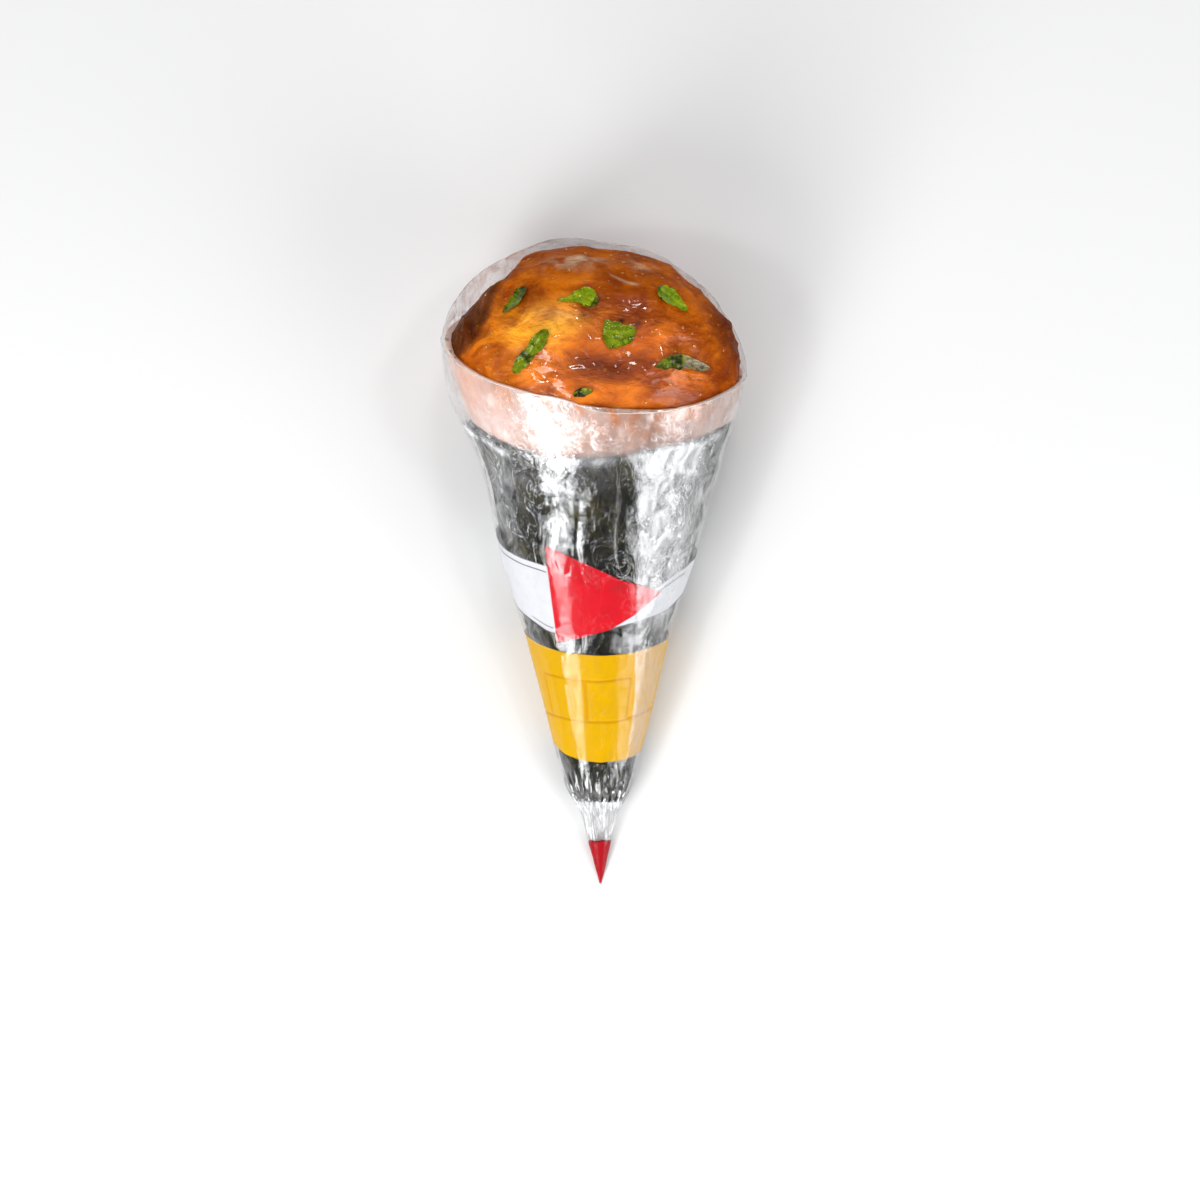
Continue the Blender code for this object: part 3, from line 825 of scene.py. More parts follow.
class HANDROLL_OT_salmon(bpy.types.Operator):
    """Makes the glazed salmon heap that bulges out of the cone's mouth"""

    bl_idname = "handroll.salmon"
    bl_label = "Glazed salmon"

    def execute(self, context):
        sizes = context.scene.handroll_sizes
        grid = salmon_surface(320, 170, sizes.salmon_relief * 1000)
        points, faces = capped(grid, mouth_middle(HEAP_Y), grid[-1].mean(0))
        heap = make_piece("salmon_heap", points, faces, tinted(salmon_tint(grid), HEAP_END_TINT))
        turn_out(heap)
        SALMON_TREE["tree"] = BVHTree.FromPolygons([Vector(p) for p in points], faces)
        finish(heap, salmon_material(), "glazed_salmon", "salmon_top")
        finish(scattered_beads(heap, sizes.glaze_bead), None, "glazed_salmon")
        return {"FINISHED"}


def node_group(name, inputs):
    """An empty Geometry Nodes group with a mesh in, named sizes and a mesh out."""
    group = bpy.data.node_groups.new(name, "GeometryNodeTree")
    group.interface.new_socket("Geometry", in_out="INPUT", socket_type="NodeSocketGeometry")
    for label, kind, default in inputs:
        socket = group.interface.new_socket(label, in_out="INPUT", socket_type=kind)
        if default is not None:
            socket.default_value = default
    group.interface.new_socket("Geometry", in_out="OUTPUT", socket_type="NodeSocketGeometry")
    start = group.nodes.new("NodeGroupInput")
    end = group.nodes.new("NodeGroupOutput")
    return group, start, end


def scatter_group(name, material, seed, grain):
    """Scatters small grains over faces by a density and a mask, each pressed a little into the surface."""
    group, start, end = node_group(name, (
        ("Density", "NodeSocketFloat", 1000.0), ("Size", "NodeSocketFloat", 0.001),
        ("Spacing", "NodeSocketFloat", 0.001), ("Length", "NodeSocketFloat", 1.0),
        ("Sink", "NodeSocketFloat", 0.0)))
    given, node, put = start.outputs, Nodes(group).node, Nodes(group).put

    def uneven(low, high, shift):
        value = node("FunctionNodeRandomValue", data_type="FLOAT", Seed=seed + shift)
        value.inputs[2].default_value, value.inputs[3].default_value = low, high
        return value.outputs[1]

    mask = node("GeometryNodeInputNamedAttribute", data_type="FLOAT", Name="grains")
    spread = node("GeometryNodeDistributePointsOnFaces", distribute_method="POISSON", Seed=seed,
                  Mesh=given["Geometry"], Density_Max=given["Density"], Distance_Min=given["Spacing"],
                  Density_Factor=mask.outputs["Attribute"])
    ball = node("GeometryNodeMeshIcoSphere", Radius=1.0, Subdivisions=2)
    shape = node("ShaderNodeCombineXYZ", X=given["Length"], Y=1.0, Z=grain)
    stretch = node("GeometryNodeTransform", Geometry=ball.outputs["Mesh"], Scale=shape.outputs["Vector"])
    size = node("ShaderNodeMath", operation="MULTIPLY")
    put(size.inputs[0], uneven(0.45, 1.15, 1))
    put(size.inputs[1], given["Size"])
    grains = node("GeometryNodeInstanceOnPoints", Points=spread.outputs["Points"],
                  Instance=stretch.outputs["Geometry"], Rotation=spread.outputs["Rotation"], Scale=size.outputs[0])
    angles = node("ShaderNodeCombineXYZ", Z=uneven(0.0, 6.283, 2))
    turn = node("GeometryNodeRotateInstances", Instances=grains.outputs["Instances"],
                Rotation=angles.outputs["Vector"])
    down = node("ShaderNodeCombineXYZ", Z=given["Sink"])
    shift = node("GeometryNodeTranslateInstances", Instances=turn.outputs["Instances"],
                 Translation=down.outputs["Vector"])
    real = node("GeometryNodeRealizeInstances", Geometry=shift.outputs["Instances"])
    smooth = node("GeometryNodeSetShadeSmooth", Geometry=real.outputs["Geometry"])
    coat = node("GeometryNodeSetMaterial", Geometry=smooth.outputs["Geometry"], Material=material)
    put(end.inputs["Geometry"], coat.outputs["Geometry"])
    return group


def grown(name, carrier, group, sizes):
    """Runs a Geometry Nodes group on a copy of a carrier and returns its result as a plain mesh object."""
    host = bpy.data.objects.new(name + "_host", carrier.data.copy())
    bpy.context.scene.collection.objects.link(host)
    modifier = host.modifiers.new("grow", "NODES")
    modifier.node_group = group
    for item in group.interface.items_tree:
        if item.item_type == "SOCKET" and item.in_out == "INPUT" and item.name in sizes:
            modifier[item.identifier] = sizes[item.name]
    bpy.context.view_layer.update()
    ready = host.evaluated_get(bpy.context.evaluated_depsgraph_get())
    mesh = bpy.data.meshes.new_from_object(ready)
    mesh.name = name
    bpy.data.objects.remove(host, do_unlink=True)
    made = bpy.data.objects.new(name, mesh)
    bpy.context.scene.collection.objects.link(made)
    if len(mesh.polygons) == 0:
        raise RuntimeError(f"{name} came out empty")
    return made


def scattered_beads(heap, radius):
    """Small beads of glaze over the shown side of the salmon."""
    co = np.zeros(len(heap.data.vertices) * 3)
    heap.data.vertices.foreach_get("co", co)
    co = co.reshape(-1, 3) * 1000 + (*MIDDLE, 0)
    mask = ramp(co[:, 2], 24, 32) * np.clip(0.15 + 1.6 * smooth_noise(co / 6.5, 71), 0, 1)
    layer = heap.data.attributes.new("grains", "FLOAT", "POINT")
    layer.data.foreach_set("value", mask)
    group = scatter_group("glaze_bead_scatter", glaze_bead_material(), 7, 0.5)
    return grown("glaze_beads", heap, group, {
        "Density": 240000.0, "Size": radius, "Spacing": 0.0019, "Length": 1.25, "Sink": -0.00004})


class HANDROLL_OT_filling(bpy.types.Operator):
    """Makes the rice and salmon filling that runs through the cone and shows between seaweed and lip"""

    bl_idname = "handroll.filling"
    bl_label = "Rice and salmon filling"

    def execute(self, context):
        rounds, band, hidden = 300, 84, 26
        angle = ring_angles(rounds)
        degrees = np.degrees(angle)
        nori = shaped(degrees, NORI_EDGE)
        low = nori - 2.2
        high = mouth_ring(angle, MOUTH_Y, FILLING_INSET)[:, 1]
        y_hidden = FILL_END_Y + (low[None] - FILL_END_Y) * np.linspace(0, 1, hidden)[:-1, None]
        y_band = low[None] + (high - low)[None] * np.linspace(0, 1, band)[:, None]
        y = np.vstack((y_hidden, y_band))
        slim = 1.7 * bell(degrees, 180, 24)[None] * ramp(y, 24, 32) * (1 - ramp(high[None] - y, 9, 3))
        above = ramp(y - nori[None], -0.4, 1.4)
        grid = on_cone(angle[None] + 0 * y, y, 2.15 * (1 - above) + 0.95 * above + slim)
        front = ramp(degrees, -4, 4) * (1 - ramp(degrees, 176, 184)) + (degrees > 356)
        push = lip_push(angle) * (front * shaped(degrees, LIP_RISE))[:, None]
        lip = [grid[-1] + push * t for t in np.linspace(0, 0.93, 6)[1:]]
        core = mouth_middle(MOUTH_Y - 4.0)
        lip += [lip[-1] + (core - lip[-1]) * t for t in (0.025, 0.06, 0.11, 0.2, 0.5)]
        inside = (len(lip), rounds)
        grid = np.concatenate((grid, np.array(lip)))
        y = np.concatenate((y, np.broadcast_to(y[-1], inside)))
        above = np.concatenate((above, np.ones(inside) * np.linspace(0.8, 0, len(lip))[:, None]))
        grain = smooth_noise(grid / (2.3, 3.4, 2.3), 61) + 0.6 * smooth_noise(grid / (1.3, 2.0, 1.3), 63)
        grid = grid + normals_of(grid) * (above * np.clip(0.20 * grain, -0.4, 0.10))[..., None]
        neck = mouth_middle(FILL_END_Y)
        neck[2] = 5.6
        points, faces = capped(grid, neck, core)
        colours = self.tint(grid, np.broadcast_to(degrees, y.shape), y)
        piece = make_piece("filling_core", points, faces, tinted(colours, FILLING_END_TINT))
        turn_out(piece)
        finish(piece, filling_material(), "rice_and_salmon", "filling")
        return {"FINISHED"}

    def tint(self, p, degrees, y):
        """Pinkish white with salmon showing in patches, and sauce running down from the lip."""
        below = mouth_ring(np.radians(degrees[0]), MOUTH_Y, FILLING_INSET)[:, 1][None] - y
        paint = Paint((0.66, 0.44, 0.37), p)
        patch = rough_noise(p / (6.0, 5.0, 6.0), 3, 81)
        paint.over(1.5 * (patch - 0.05), (0.66, 0.34, 0.22))
        paint.over(1.6 * (rough_noise(p / (3.5, 7.0, 3.5), 3, 83) - 0.1), (0.82, 0.70, 0.65))
        paint.over(0.8 * bell(degrees, 152, 9) * bell(below, 3, 4), (0.68, 0.34, 0.22))
        paint.over(0.7 * bell(degrees, 128, 5) * bell(below, 2, 3), (0.75, 0.33, 0.14))
        paint.over(0.8 * bell(degrees, 55, 12) * bell(below, 1, 2.4), (0.80, 0.27, 0.06))
        for at, wide, deep, strong in ((84, 2.2, 5.2, 0.95), (96, 2.0, 3.0, 0.7), (74, 2.4, 6.5, 0.6),
                                       (66, 2.2, 3.6, 0.8), (47, 2.6, 4.5, 0.7), (112, 2.0, 2.5, 0.6)):
            drip = bell(degrees, at + 1.5 * np.sin(below * 0.8 + at), wide) * (1 - ramp(below, deep * 0.5, deep))
            paint.over(strong * drip, (0.78, 0.24, 0.045))
        # painted shade: the filling darker on its right side and top, at ring angles below about 125 degrees
        paint.tone = paint.tone * (0.70 + 0.42 * ramp(degrees, 55, 125))[..., None]
        paint.over(0.75 * bell(degrees, 70, 20) * bell(below, 6.5, 2.0) * (0.6 + patch), (0.45, 0.22, 0.14))
        return paint.tone


class HANDROLL_OT_seaweed(bpy.types.Operator):
    """Makes the seaweed cone with its fibres, edge and gathered end"""

    bl_idname = "handroll.seaweed"
    bl_label = "Seaweed cone"

    def execute(self, context):
        sizes, colours = context.scene.handroll_sizes, context.scene.handroll_colours
        relief = sizes.seaweed_relief * 1000
        rounds, rows, inner = 330, 250, 10
        angle = ring_angles(rounds)
        edge = shaped(np.degrees(angle), NORI_EDGE)
        edge = edge + 0.35 * smooth_noise(np.stack((np.cos(angle) * 9, np.sin(angle) * 9, 0 * angle), -1), 91)
        y = NORI_END_Y + (edge - NORI_END_Y)[None] * np.linspace(0, 1, rows)[:, None]
        grid = on_cone(angle[None] + 0 * y, y, SEAWEED_INSET)
        long_ = smooth_noise(grid / (3.0, 9.0, 3.0), 93)
        fibre = rough_noise(grid / (1.3, 2.6, 1.3), 3, 95)
        crumple = creased(grid / (4.5, 6.5, 4.5), 97) - 0.4
        pleat = ramp(-y, 44, 53) * 0.05 * outline(y)[1] * np.cos(17 * angle[None] + 0.8)
        height = relief * (1.0 * long_ + 0.9 * fibre + 0.9 * crumple) + pleat
        grid = grid + normals_of(grid) * np.clip(height, -0.5, 0.3)[..., None]
        grid[..., 2] = np.maximum(grid[..., 2], 1.0)
        wall = []
        for i in range(inner):
            wall.append(on_cone(angle, edge - 0.1 - 4.0 * i / (inner - 1), 1.62 + 0.1 * (i > 0)))
        grid = np.concatenate((grid, np.array(wall)))
        top = on_cone(np.array([math.pi / 2]), np.array([NORI_END_Y - 0.4]), 0.0)[0]
        points, faces = capped(grid, (top[0], NORI_END_Y - 0.3, top[2] * 0.5))
        piece = make_piece("seaweed_cone", points, faces)
        material = seaweed_material(tuple(colours.seaweed_olive), tuple(colours.seaweed_dark))
        finish(piece, material, "seaweed", "nori_cone")
        return {"FINISHED"}


class HANDROLL_OT_film(bpy.types.Operator):
    """Makes the clear film: the cone, its gathered neck, the lip and the back wall behind the salmon"""

    bl_idname = "handroll.film"
    bl_label = "Clear film"

    def execute(self, context):
        along, flap = 250, 34
        grid, degrees = film_surface(330, along, flap, context.scene.handroll_sizes.film_wrinkle * 1000)
        points, faces = capped(grid, (0.1, TIP_Y - 0.35, 0.45))
        y = grid[..., 1]
        d = np.broadcast_to(degrees, y.shape)
        row = np.arange(along + flap)[:, None] + 0 * d
        painted_glare, crinkle, clear, painted_sheen_right = self.fields(d, y, row, along, along + flap)
        piece = make_piece("film_cone", points, faces, values={
            "painted_glare": np.append(painted_glare.ravel(), 0.0), "crinkle": np.append(crinkle.ravel(), 0.0),
            "clear": np.append(clear.ravel(), 0.92), "painted_sheen_right": np.append(painted_sheen_right.ravel(), 0.0)})
        finish(piece, clear_film_material(), "clear_film", "film_wrapper")
        self.edge(grid[-1], degrees)
        return {"FINISHED"}

    def fields(self, d, y, row, along, rows):
        """Painted glare, fine scratch lines with painted glints, clearness and painted sheen of the film's points, at
        ring angles d and along Y.
        """
        nori = shaped(d, NORI_EDGE)
        fold = np.interp(y, (-45, -31, -8, 15, 25), (47.5, 51.5, 63.5, 71.0, 72.0))
        loose = 1 - ramp(d, fold - 1.5, fold + 0.8)
        right, wide = loose * ramp(d, 8, 34), loose * ramp(d, 0, 16)
        # painted glare: white patches where the lamps glare on the film, on its right, its left and over the filling
        painted_glare = 0.45 * ramp(y, -20, -14) * right * ramp(y, -46, -42) * (1 - ramp(y, 22, 29))
        painted_glare = painted_glare + 0.40 * bell(d, 150, 20) * bell(y, 18, 10) + 0.28 * bell(d, 112, 26) * bell(y, 20, 3.5)
        painted_glare = painted_glare + 1.0 * bell(d, 116, 14) * bell(y, 32, 7)
        patch = ramp(d, 33, 38) * (1 - ramp(d, 73, 76)) * ramp(y, 20, 21.2)
        painted_glare = painted_glare + 0.9 * patch * (1 - ramp(y, nori - 0.6, nori + 1.5))
        # painted highlight along the strip where the film stands off the seaweed at the left
        strip = np.interp(d, (136, 149, 160, 180), (24.2, 27.0, 29.4, 32.9))
        painted_glare = painted_glare + 1.3 * bell(y, strip, 0.9) * ramp(d, 132, 140) * (1 - ramp(d, 184, 192))
        # painted highlight along the seaweed's top edge
        painted_glare = painted_glare + 0.9 * bell(y, nori - 0.6, 1.1) * ramp(d, 10, 30) * (1 - ramp(d, 120, 135))
        # painted glints on the crimp's scallops and the streaks above it
        scallop = 0.5 + 0.5 * np.cos(PLEATS * np.radians(d))
        painted_glare = painted_glare + 0.15 * bell(y, -53, 4) + 2.0 * scallop * bell(y, -54.4 - 0.8 * scallop, 0.9)
        # painted highlight on the crumpled back wall, and along the lip's cut edge
        painted_glare = painted_glare + (row > along) * (1.2 * bell(d, 208, 12) + 0.8 * ramp(row, rows - 7, rows - 1) * bell(d, 225, 24))
        painted_glare = painted_glare + 1.5 * ramp(row, rows - 4, rows - 1) * (d <= 180)

        # fine scratch lines, partly painted glints: they gather where the painted glare lies
        crinkle = bell(d, 145, 26) * bell(y, 17, 11) + bell(d, 100, 40) * bell(y, 18, 6)
        crinkle = crinkle + bell(d, 45, 26) * bell(y, 12, 14)
        crinkle = np.clip(crinkle + 0.5 * bell(d, 90, 60) * bell(y, 26, 4) + 0.35, 0, 1)
        crinkle = crinkle * (1 - 0.95 * bell(d, 88, 20) * bell(y, 17, 12))

        yellow = printed_share(d, y, YELLOW_LOW, YELLOW_TOP)
        white = printed_share(d, y, WHITE_LOW, WHITE_TOP)
        red = (d > 43) & (d < 124) & (y < np.interp(d, *zip(*PENNANT_TOP))) & (y > np.interp(d, *zip(*PENNANT_LOW)))
        clear = np.maximum.reduce((0.80 * yellow, 0.50 * red, 0.75 * white)) * (1 - 0.6 * right)
        clear = np.maximum(0.92 * ramp(-y, 63.4, 64.6), clear)
        over_salmon = ramp(row, along, along + 3) * (1 - 0.8 * ramp(row, rows - 6, rows - 1)) * (d > 180)
        corner = 0.4 * bell(d, 206, 9) * (1 - ramp(row, along + 6, along + 16))
        clear = np.maximum(clear, 0.30 * over_salmon * (1 - corner))

        # painted sheen over the right side, the yellow band's right part and the pennant's right end
        painted_sheen_right = right * ramp(y, -46, -42) * (1 - ramp(y, 16, 28)) * (0.06 + 0.12 * ramp(y, -16, -8))
        painted_sheen_right = painted_sheen_right * (1 - yellow) * (1 - red)
        painted_sheen_right = painted_sheen_right + 0.25 * wide * yellow + 0.33 * wide * red * (1 - ramp(d, 50, 64))
        return painted_glare, crinkle, clear, painted_sheen_right

    def edge(self, ring, degrees):
        """The film's cut edge as a thin whitish tube, whose white is a painted highlight along the edge."""
        sides, radius = 8, 0.12
        way = np.roll(ring, -1, 0) - np.roll(ring, 1, 0)
        way /= np.linalg.norm(way, axis=1, keepdims=True)
        side = np.cross(way, (0.3, 0.2, 1.0))
        side /= np.linalg.norm(side, axis=1, keepdims=True)
        up = np.cross(side, way)
        turn = ring_angles(sides)[None, :, None]
        size = radius * np.where(degrees <= 180, 1.0, 0.55)[:, None, None]
        tube = ring[:, None] + size * (np.cos(turn) * side[:, None] + np.sin(turn) * up[:, None])
        count = len(ring)
        faces = []
        for i in range(count):
            for j in range(sides):
                k, n = (j + 1) % sides, (i + 1) % count
                faces.append((i * sides + j, n * sides + j, n * sides + k, i * sides + k))
        piece = make_piece("film_edge", tube.reshape(-1, 3), faces)
        turn_out(piece)
        m = Mixer("film_edge_painted_highlight")
        # painted highlight: the edge's whitish colour
        m.set(Base_Color=(0.85, 0.84, 0.84), Roughness=0.2, Coat_Weight=0.5)
        m.set(Alpha=m.range(m.noise(260.0, 3.0), 0.4, 0.65, 0.35, 0.95))
        finish(piece, m.material, "clear_film")


def printed_ring(low, high, columns, rows, wrinkle, relief):
    """Grid of a thin printed field round the film between two edges, with its ring angles and places along Y."""
    degrees = np.linspace(0, 360, columns, endpoint=False)
    angle = np.radians(degrees)
    bottom, top = shaped(degrees, low), shaped(degrees, high)
    y = bottom[None] + (top - bottom)[None] * np.linspace(0, 1, rows)[:, None]
    around = np.broadcast_to(degrees, y.shape)
    inset = PRINT_INSET + film_depth(angle[None] + 0 * y, y, wrinkle) + relief(around, y)
    grid = on_cone(angle[None] + 0 * y, y, 0.0)
    grid = grid - normals_of(grid) * inset[..., None]
    grid[..., 2] = np.maximum(grid[..., 2], 0.1)
    return grid, around, y


def brick_grooves(degrees, y):
    """How strongly each point of the yellow band lies in one of its pressed lines."""
    groove = 0.0
    lines = [shaped(degrees, line) for line in BRICK_LINES]
    for place, stop in zip(lines, (150.0, 200.0)):
        run = ramp(degrees, stop - 300, stop - 299) * (1 - ramp(degrees, stop - 1, stop + 1))
        run = run * ramp(degrees, 56.0, 58.0) if stop < 180 else run
        groove = np.maximum(groove, bell(y, place, 0.22) * run)
    inside = ramp(y, lines[1] - 0.1, lines[1] + 0.5) * (1 - ramp(y, lines[0] - 0.5, lines[0] + 0.1))
    for at in BRICK_JOINTS:
        groove = np.maximum(groove, bell(degrees, at, 1.5) * inside)
    return groove


def top_bead(degrees, y):
    """A slight step under the white band's upper edge."""
    return 0.07 * bell(y, shaped(degrees, WHITE_TOP) - 1.5, 0.28)


class HANDROLL_OT_print(bpy.types.Operator):
    """Makes the film's printed fields: white band, red pennant, yellow band and red tip"""

    bl_idname = "handroll.printed"
    bl_label = "Printed fields"

    def execute(self, context):
        wrinkle = context.scene.handroll_sizes.film_wrinkle * 1000
        colours = context.scene.handroll_colours
        self.white_band(wrinkle, tuple(colours.band_white))
        self.fine_lines(wrinkle)
        self.yellow_band(wrinkle, tuple(colours.band_yellow))
        self.pennant(wrinkle, tuple(colours.pennant_red))
        self.tip(wrinkle, tuple(colours.pennant_red))
        return {"FINISHED"}

    def white_band(self, wrinkle, white):
        """The white band that crosses the film behind the pennant."""
        columns, rows = 320, 46
        grid, _, _ = printed_ring(WHITE_LOW, WHITE_TOP, columns, rows, wrinkle, top_bead)
        band = make_piece("white_band", grid, grid_faces(rows, columns, True))
        m, _ = printed_material("white_print", white, tuple(0.93 * v for v in white))
        finish(band, m.material, "clear_film")

    def fine_lines(self, wrinkle):
        """Hairlines along the white band's edges and a short one near its lower left."""
        runs = (
            (WHITE_TOP, -1.35, 124, 182, 0.09), (WHITE_TOP, -1.35, 20, 47, 0.09),
            (WHITE_TOP, 0.12, 0, 360, 0.12), (WHITE_LOW, -0.12, 0, 360, 0.12), (WHITE_LOW, 1.1, 124, 146, 0.08))
        points, faces = [], []
        for table, shift, start, stop, half in runs:
            degrees = np.linspace(start, stop, max(12, int((stop - start) * 0.9)))
            y = shaped(degrees, table)[None] + shift + np.array((-half, half))[:, None]
            angle = np.radians(degrees)[None] + 0 * y
            grid = pressed_in(angle, y, FINE_INSET + film_depth(angle, y, wrinkle))
            grid[..., 2] = np.maximum(grid[..., 2], 0.09)
            faces += (grid_faces(2, len(degrees), False) + len(points)).tolist()
            points += grid.reshape(-1, 3).tolist()
        lines = make_piece("print_hairlines", points, faces)
        m, _ = printed_material("dark_print", (0.12, 0.11, 0.11), (0.20, 0.18, 0.18))
        finish(lines, m.material, "clear_film")

    def yellow_band(self, wrinkle, yellow):
        """The yellow band with its pressed lines."""
        columns, rows = 400, 120
        grid, around, y = printed_ring(
            YELLOW_LOW, YELLOW_TOP, columns, rows, wrinkle, lambda d, y: 0.3 * brick_grooves(d, y))
        band = make_piece("yellow_band", grid, grid_faces(rows, columns, True),
                          values={"groove": brick_grooves(around, y)})
        m, tone = printed_material("yellow_print", yellow, (0.57, 0.30, 0.0))
        # the pressed lines tinted darker orange: print lines, and painted shade in the grooves
        m.set(Base_Color=m.blend(m.maths("MULTIPLY", m.attribute("groove"), 0.55), tone, (0.52, 0.22, 0.0)))
        finish(band, m.material, "clear_film")

    def pennant(self, wrinkle, red):
        """The red pennant that points right, its left side slightly slanted."""
        columns, rows = 150, 60
        start, stop = PENNANT_ENDS
        t = np.linspace(0, 1, rows)[:, None]
        left = np.interp(t, (0, 1), (124.3, 121.8))
        share = ((np.linspace(start, stop, columns) - start) / (stop - start))[None]
        spread = start + (left - start) * share
        top, low = np.interp(spread, *zip(*PENNANT_TOP)), np.interp(spread, *zip(*PENNANT_LOW))
        y = low + (top - low) * t
        soft = 0.25 * np.roll(y, 1, 1) + 0.5 * y + 0.25 * np.roll(y, -1, 1)
        soft[:, 0], soft[:, -1] = y[:, 0], y[:, -1]
        angle = np.radians(spread)
        grid = pressed_in(angle, soft, PENNANT_INSET + film_depth(angle, soft, wrinkle))
        pennant = make_piece("red_pennant", grid, grid_faces(rows, columns, False))
        m, _ = printed_material("red_print", red, (0.47, 0.005, 0.012))
        finish(pennant, m.material, "clear_film")

    def tip(self, wrinkle, red):
        """The red tip of the film, in a darker copy of the pennant's red: painted shade."""
        angle = ring_angles(96)
        edge = TIP_PRINT_END + 0.25 * np.cos(5 * angle)[None]
        y = TIP_Y + (edge - TIP_Y) * np.linspace(0, 1, 40)[:, None]
        grid = on_cone(angle[None] + 0 * y, y, 0.0)
        inset = FINE_INSET + film_depth(angle[None] + 0 * y, y, wrinkle)
        grid = grid - normals_of(grid) * inset[..., None]
        grid[..., 2] = np.maximum(grid[..., 2], 0.06)
        points, faces = capped(grid, (0.1, TIP_Y - 0.2, 0.4), grid[-1].mean(0))
        tip = make_piece("red_tip", points, faces)
        turn_out(tip)
        # painted shade: the tip's red darkened to 0.62 of the pennant's
        m, _ = printed_material("red_tip_print_painted_shade", tuple(0.62 * v for v in red), (0.24, 0.003, 0.006))
        finish(tip, m.material, "clear_film")


class HANDROLL_OT_herbs(bpy.types.Operator):
    """Makes the seven herb pieces that lie on the salmon"""

    bl_idname = "handroll.herbs"
    bl_label = "Herb pieces"

    def execute(self, context):
        green = herb_material()
        for number, herb in enumerate(HERBS):
            self.leaf(number, herb, green)
        return {"FINISHED"}

    def leaf(self, number, herb, green):
        """One herb piece: a thin ragged leaf that follows the salmon, with veins and a slight curl."""
        steps, sides, thick, gap = 46, 16, 0.36, 0.42
        t = np.linspace(0, 1, steps)
        spine = through(herb["spine"], t)
        way = np.gradient(spine, axis=0)
        way /= np.linalg.norm(way, axis=1, keepdims=True)
        width = through([(w,) for w in herb["width"]], t)[:, 0]
        width = width * np.sqrt(np.clip(1 - (2 * t - 1) ** 8, 0.0, 1)) + 0.05
        ragged = [smooth_noise(np.stack((t * 9, 0 * t + number, 0 * t + shift), -1), seed)
                  for shift, seed in ((5, 103), (0, 101))]
        low, high, tint = [], [], []
        dark_from, dark_to = herb["dark"]
        for i in range(steps):
            for j in range(sides):
                s = j / (sides - 1) * 2 - 1
                reach = width[i] * (1 + 0.22 * ragged[s > 0][i]) * s
                x = spine[i, 0] - way[i, 1] * reach
                y = spine[i, 1] + way[i, 0] * reach
                z, slope = top_of_salmon(x, y)
                crinkle = 0.22 * float(smooth_noise(np.array((x * 1.1, y * 1.1, number * 3.0)), 105))
                vein = 0.10 * math.exp(-(s / 0.13) ** 2)
                curl = 0.18 * s * s
                lift = (gap + crinkle + curl - vein) / slope
                low.append((x, y, z + max(lift - thick, 0.02)))
                high.append((x, y, z + max(lift, 0.16)))
                side_vein = 0.5 + 0.5 * math.cos((t[i] * 9 - abs(s) * 1.4) * 2 * math.pi)
                pale = 0.35 * math.exp(-(s / 0.14) ** 2) + 0.12 * side_vein
                colour = np.array(herb["colour"]) * (1 + pale)
                if dark_from <= t[i] <= dark_to:
                    colour = colour * 0.28
                if t[i] > herb.get("withered", 1.0):
                    colour = np.array((0.30, 0.24, 0.15)) * (0.55 + 0.9 * side_vein * (0.5 + 0.5 * abs(s)))
                tint.append(colour)
        count = steps * sides
        quads = grid_faces(steps, sides, False)
        faces = [tuple(q[::-1]) for q in quads.tolist()] + (quads + count).tolist()
        rim = list(range(sides)) + [i * sides + sides - 1 for i in range(1, steps)]
        rim += [(steps - 1) * sides + j for j in range(sides - 2, -1, -1)]
        rim += [i * sides for i in range(steps - 2, 0, -1)]
        for a, b in zip(rim, rim[1:] + rim[:1]):
            faces.append((a, b, count + b, count + a))
        piece = make_piece(herb["name"] + "_leaf", low + high, faces, tint + tint)
        turn_out(piece)
        finish(piece, green, "herb", herb["name"])


# Softboxes: name, degrees round from the tip's side, degrees up, distance, size, radiance
LIGHTS = (
    ("left_strip", -40, 37, 0.75, (0.24, 0.42), 10.0),
    ("low_front", -18, 15, 0.75, (0.46, 0.19), 11.0),
    ("right_panel", 57, 24, 0.75, (0.52, 0.56), 4.0),
    ("high_spot", 170, 58, 0.9, (0.10, 0.10), 26.0),
    ("left_spot", -75, 60, 0.9, (0.10, 0.10), 26.0),
    ("right_spot", 110, 62, 0.9, (0.10, 0.10), 26.0),
    ("overhead_fill", -120, 66, 1.3, (1.5, 1.5), 0.96),
)
# The camera stands straight above, in metres, over CAMERA_Y in the roll's millimetres. FRAME_WIDTH is what it
# sees at FRAME_DISTANCE
CAMERA_HEIGHT = 0.9
CAMERA_Y = -7.7
FRAME_WIDTH = 0.2724
FRAME_DISTANCE = 0.873
SENSOR = 36.0
FLOOR_REACH = 3.0
ROOM_COLOUR = (0.95, 0.97, 1.0, 1.0)
ROOM_STRENGTH = 0.13
AIM_HEIGHT = 0.025


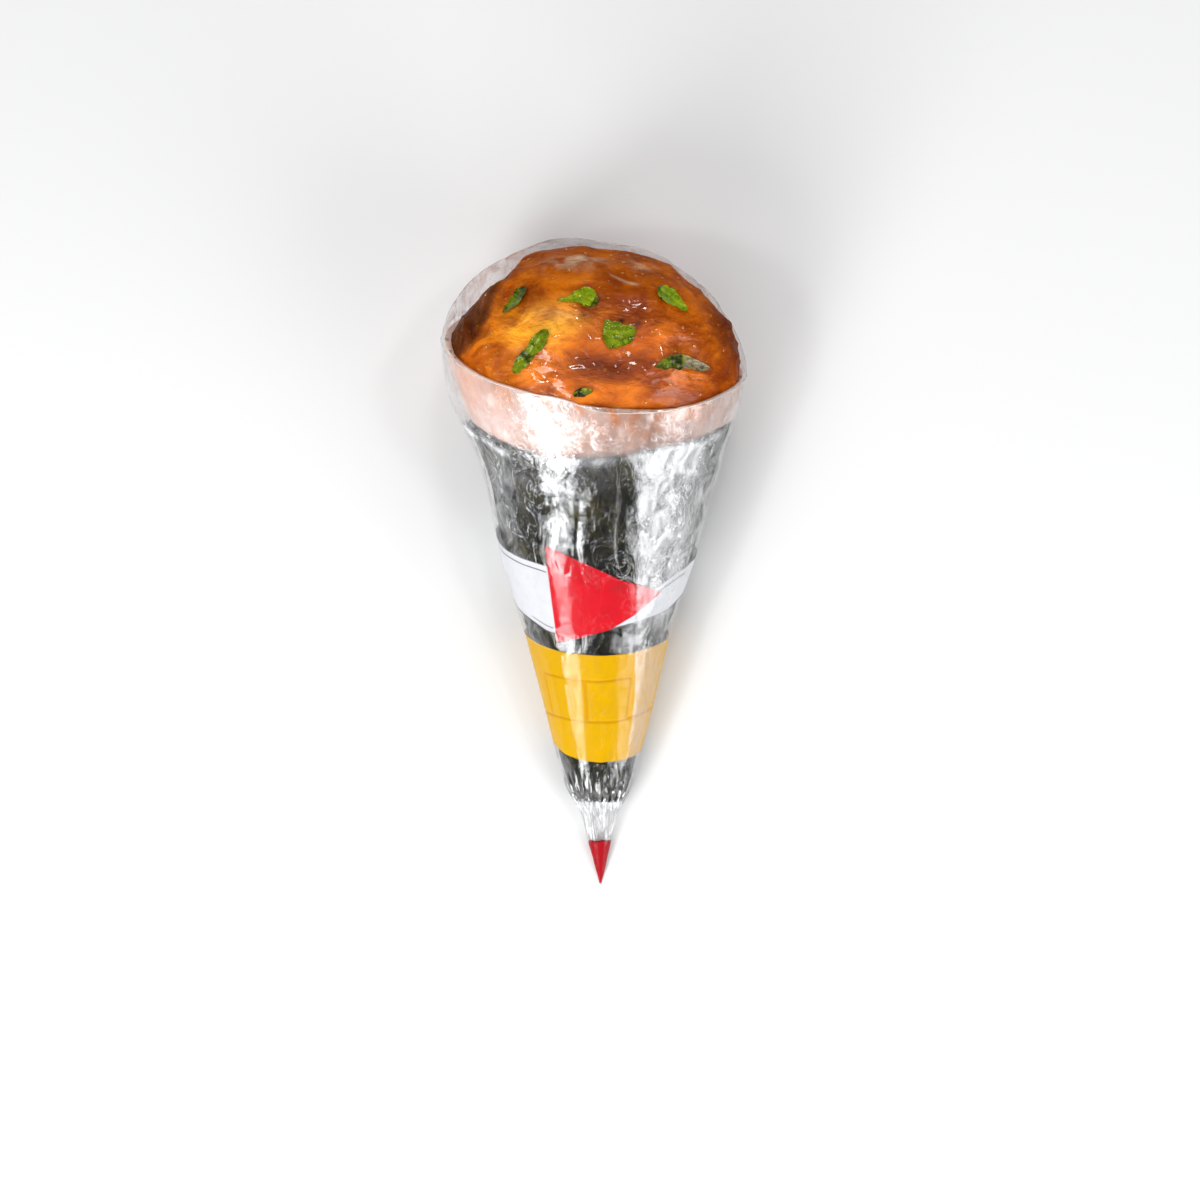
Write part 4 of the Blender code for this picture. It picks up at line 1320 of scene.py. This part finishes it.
class HANDROLL_OT_stage(bpy.types.Operator):
    """Makes the plain pale floor, the soft lights and the camera straight above"""

    bl_idname = "handroll.stage"
    bl_label = "Floor, lights and camera"

    def execute(self, context):
        scene = context.scene
        mesh = bpy.data.meshes.new("floor")
        corners = [(FLOOR_REACH * x, FLOOR_REACH * y, 0.0) for x, y in ((-1, -1), (1, -1), (1, 1), (-1, 1))]
        mesh.from_pydata(corners, [], [(0, 1, 2, 3)])
        floor = bpy.data.objects.new("floor", mesh)
        scene.collection.objects.link(floor)
        m = Mixer("pale_floor")
        m.set(Base_Color=(0.78, 0.78, 0.78), Roughness=0.8, Specular_IOR_Level=0.1)
        mesh.materials.append(m.material)
        world = bpy.data.worlds.new("soft_room")
        world.use_nodes = True
        background = world.node_tree.nodes["Background"]
        background.inputs["Color"].default_value = ROOM_COLOUR
        background.inputs["Strength"].default_value = ROOM_STRENGTH
        scene.world = world
        for row in LIGHTS:
            lamp = self.light(*row)
            lamp.visible_glossy = row[0] != "overhead_fill"
        camera = bpy.data.cameras.new("camera")
        camera.sensor_width = SENSOR
        camera.lens = SENSOR * FRAME_DISTANCE / FRAME_WIDTH
        camera.clip_start = 0.01
        seen = bpy.data.objects.new("camera", camera)
        scene.collection.objects.link(seen)
        seen.location = (-MIDDLE[0] * 0.001, (CAMERA_Y - MIDDLE[1]) * 0.001, CAMERA_HEIGHT)
        scene.camera = seen
        scene.view_settings.view_transform = "Standard"
        scene.view_settings.look = "None"
        return {"FINISHED"}

    def light(self, name, round_degrees, up_degrees, distance, size, radiance):
        """A flat softbox of a given radiance that faces the roll, set round from the tip's side."""
        data = bpy.data.lights.new(name, "AREA")
        data.shape = "RECTANGLE"
        data.size, data.size_y = size
        data.energy = radiance * math.pi * size[0] * size[1]
        lamp = bpy.data.objects.new(name, data)
        bpy.context.scene.collection.objects.link(lamp)
        side, up = math.radians(round_degrees), math.radians(up_degrees)
        away = Vector((math.sin(side) * math.cos(up), -math.cos(side) * math.cos(up), math.sin(up)))
        x = Vector((0, 0, 1)).cross(away).normalized()
        turn = Matrix((x, away.cross(x), away)).transposed().to_4x4()
        lamp.matrix_world = Matrix.Translation(away * distance + Vector((0, 0, AIM_HEIGHT))) @ turn
        return lamp


class HANDROLL_PT_panel(bpy.types.Panel):
    """Lists the roll's pieces, sizes and colours"""

    bl_label = "Hand roll"
    bl_space_type = "VIEW_3D"
    bl_region_type = "UI"
    bl_category = "Hand roll"

    def draw(self, context):
        for group in (context.scene.handroll_sizes, context.scene.handroll_colours):
            for key in group.__annotations__:
                self.layout.prop(group, key)
        for operator in OPERATORS:
            self.layout.operator(operator.bl_idname)


OPERATORS = (
    HANDROLL_OT_stage,
    HANDROLL_OT_seaweed,
    HANDROLL_OT_filling,
    HANDROLL_OT_salmon,
    HANDROLL_OT_herbs,
    HANDROLL_OT_print,
    HANDROLL_OT_film,
)
CLASSES = (HandRollSizes, HandRollColours, *OPERATORS, HANDROLL_PT_panel)


def register():
    for cls in CLASSES:
        bpy.utils.register_class(cls)
    bpy.types.Scene.handroll_sizes = bpy.props.PointerProperty(type=HandRollSizes)
    bpy.types.Scene.handroll_colours = bpy.props.PointerProperty(type=HandRollColours)


def unregister():
    del bpy.types.Scene.handroll_sizes
    del bpy.types.Scene.handroll_colours
    for cls in reversed(CLASSES):
        bpy.utils.unregister_class(cls)


def main():
    register()
    bpy.ops.handroll.stage()
    bpy.ops.handroll.seaweed()
    bpy.ops.handroll.filling()
    bpy.ops.handroll.salmon()
    bpy.ops.handroll.herbs()
    bpy.ops.handroll.printed()
    bpy.ops.handroll.film()


if __name__ == "__main__":
    main()
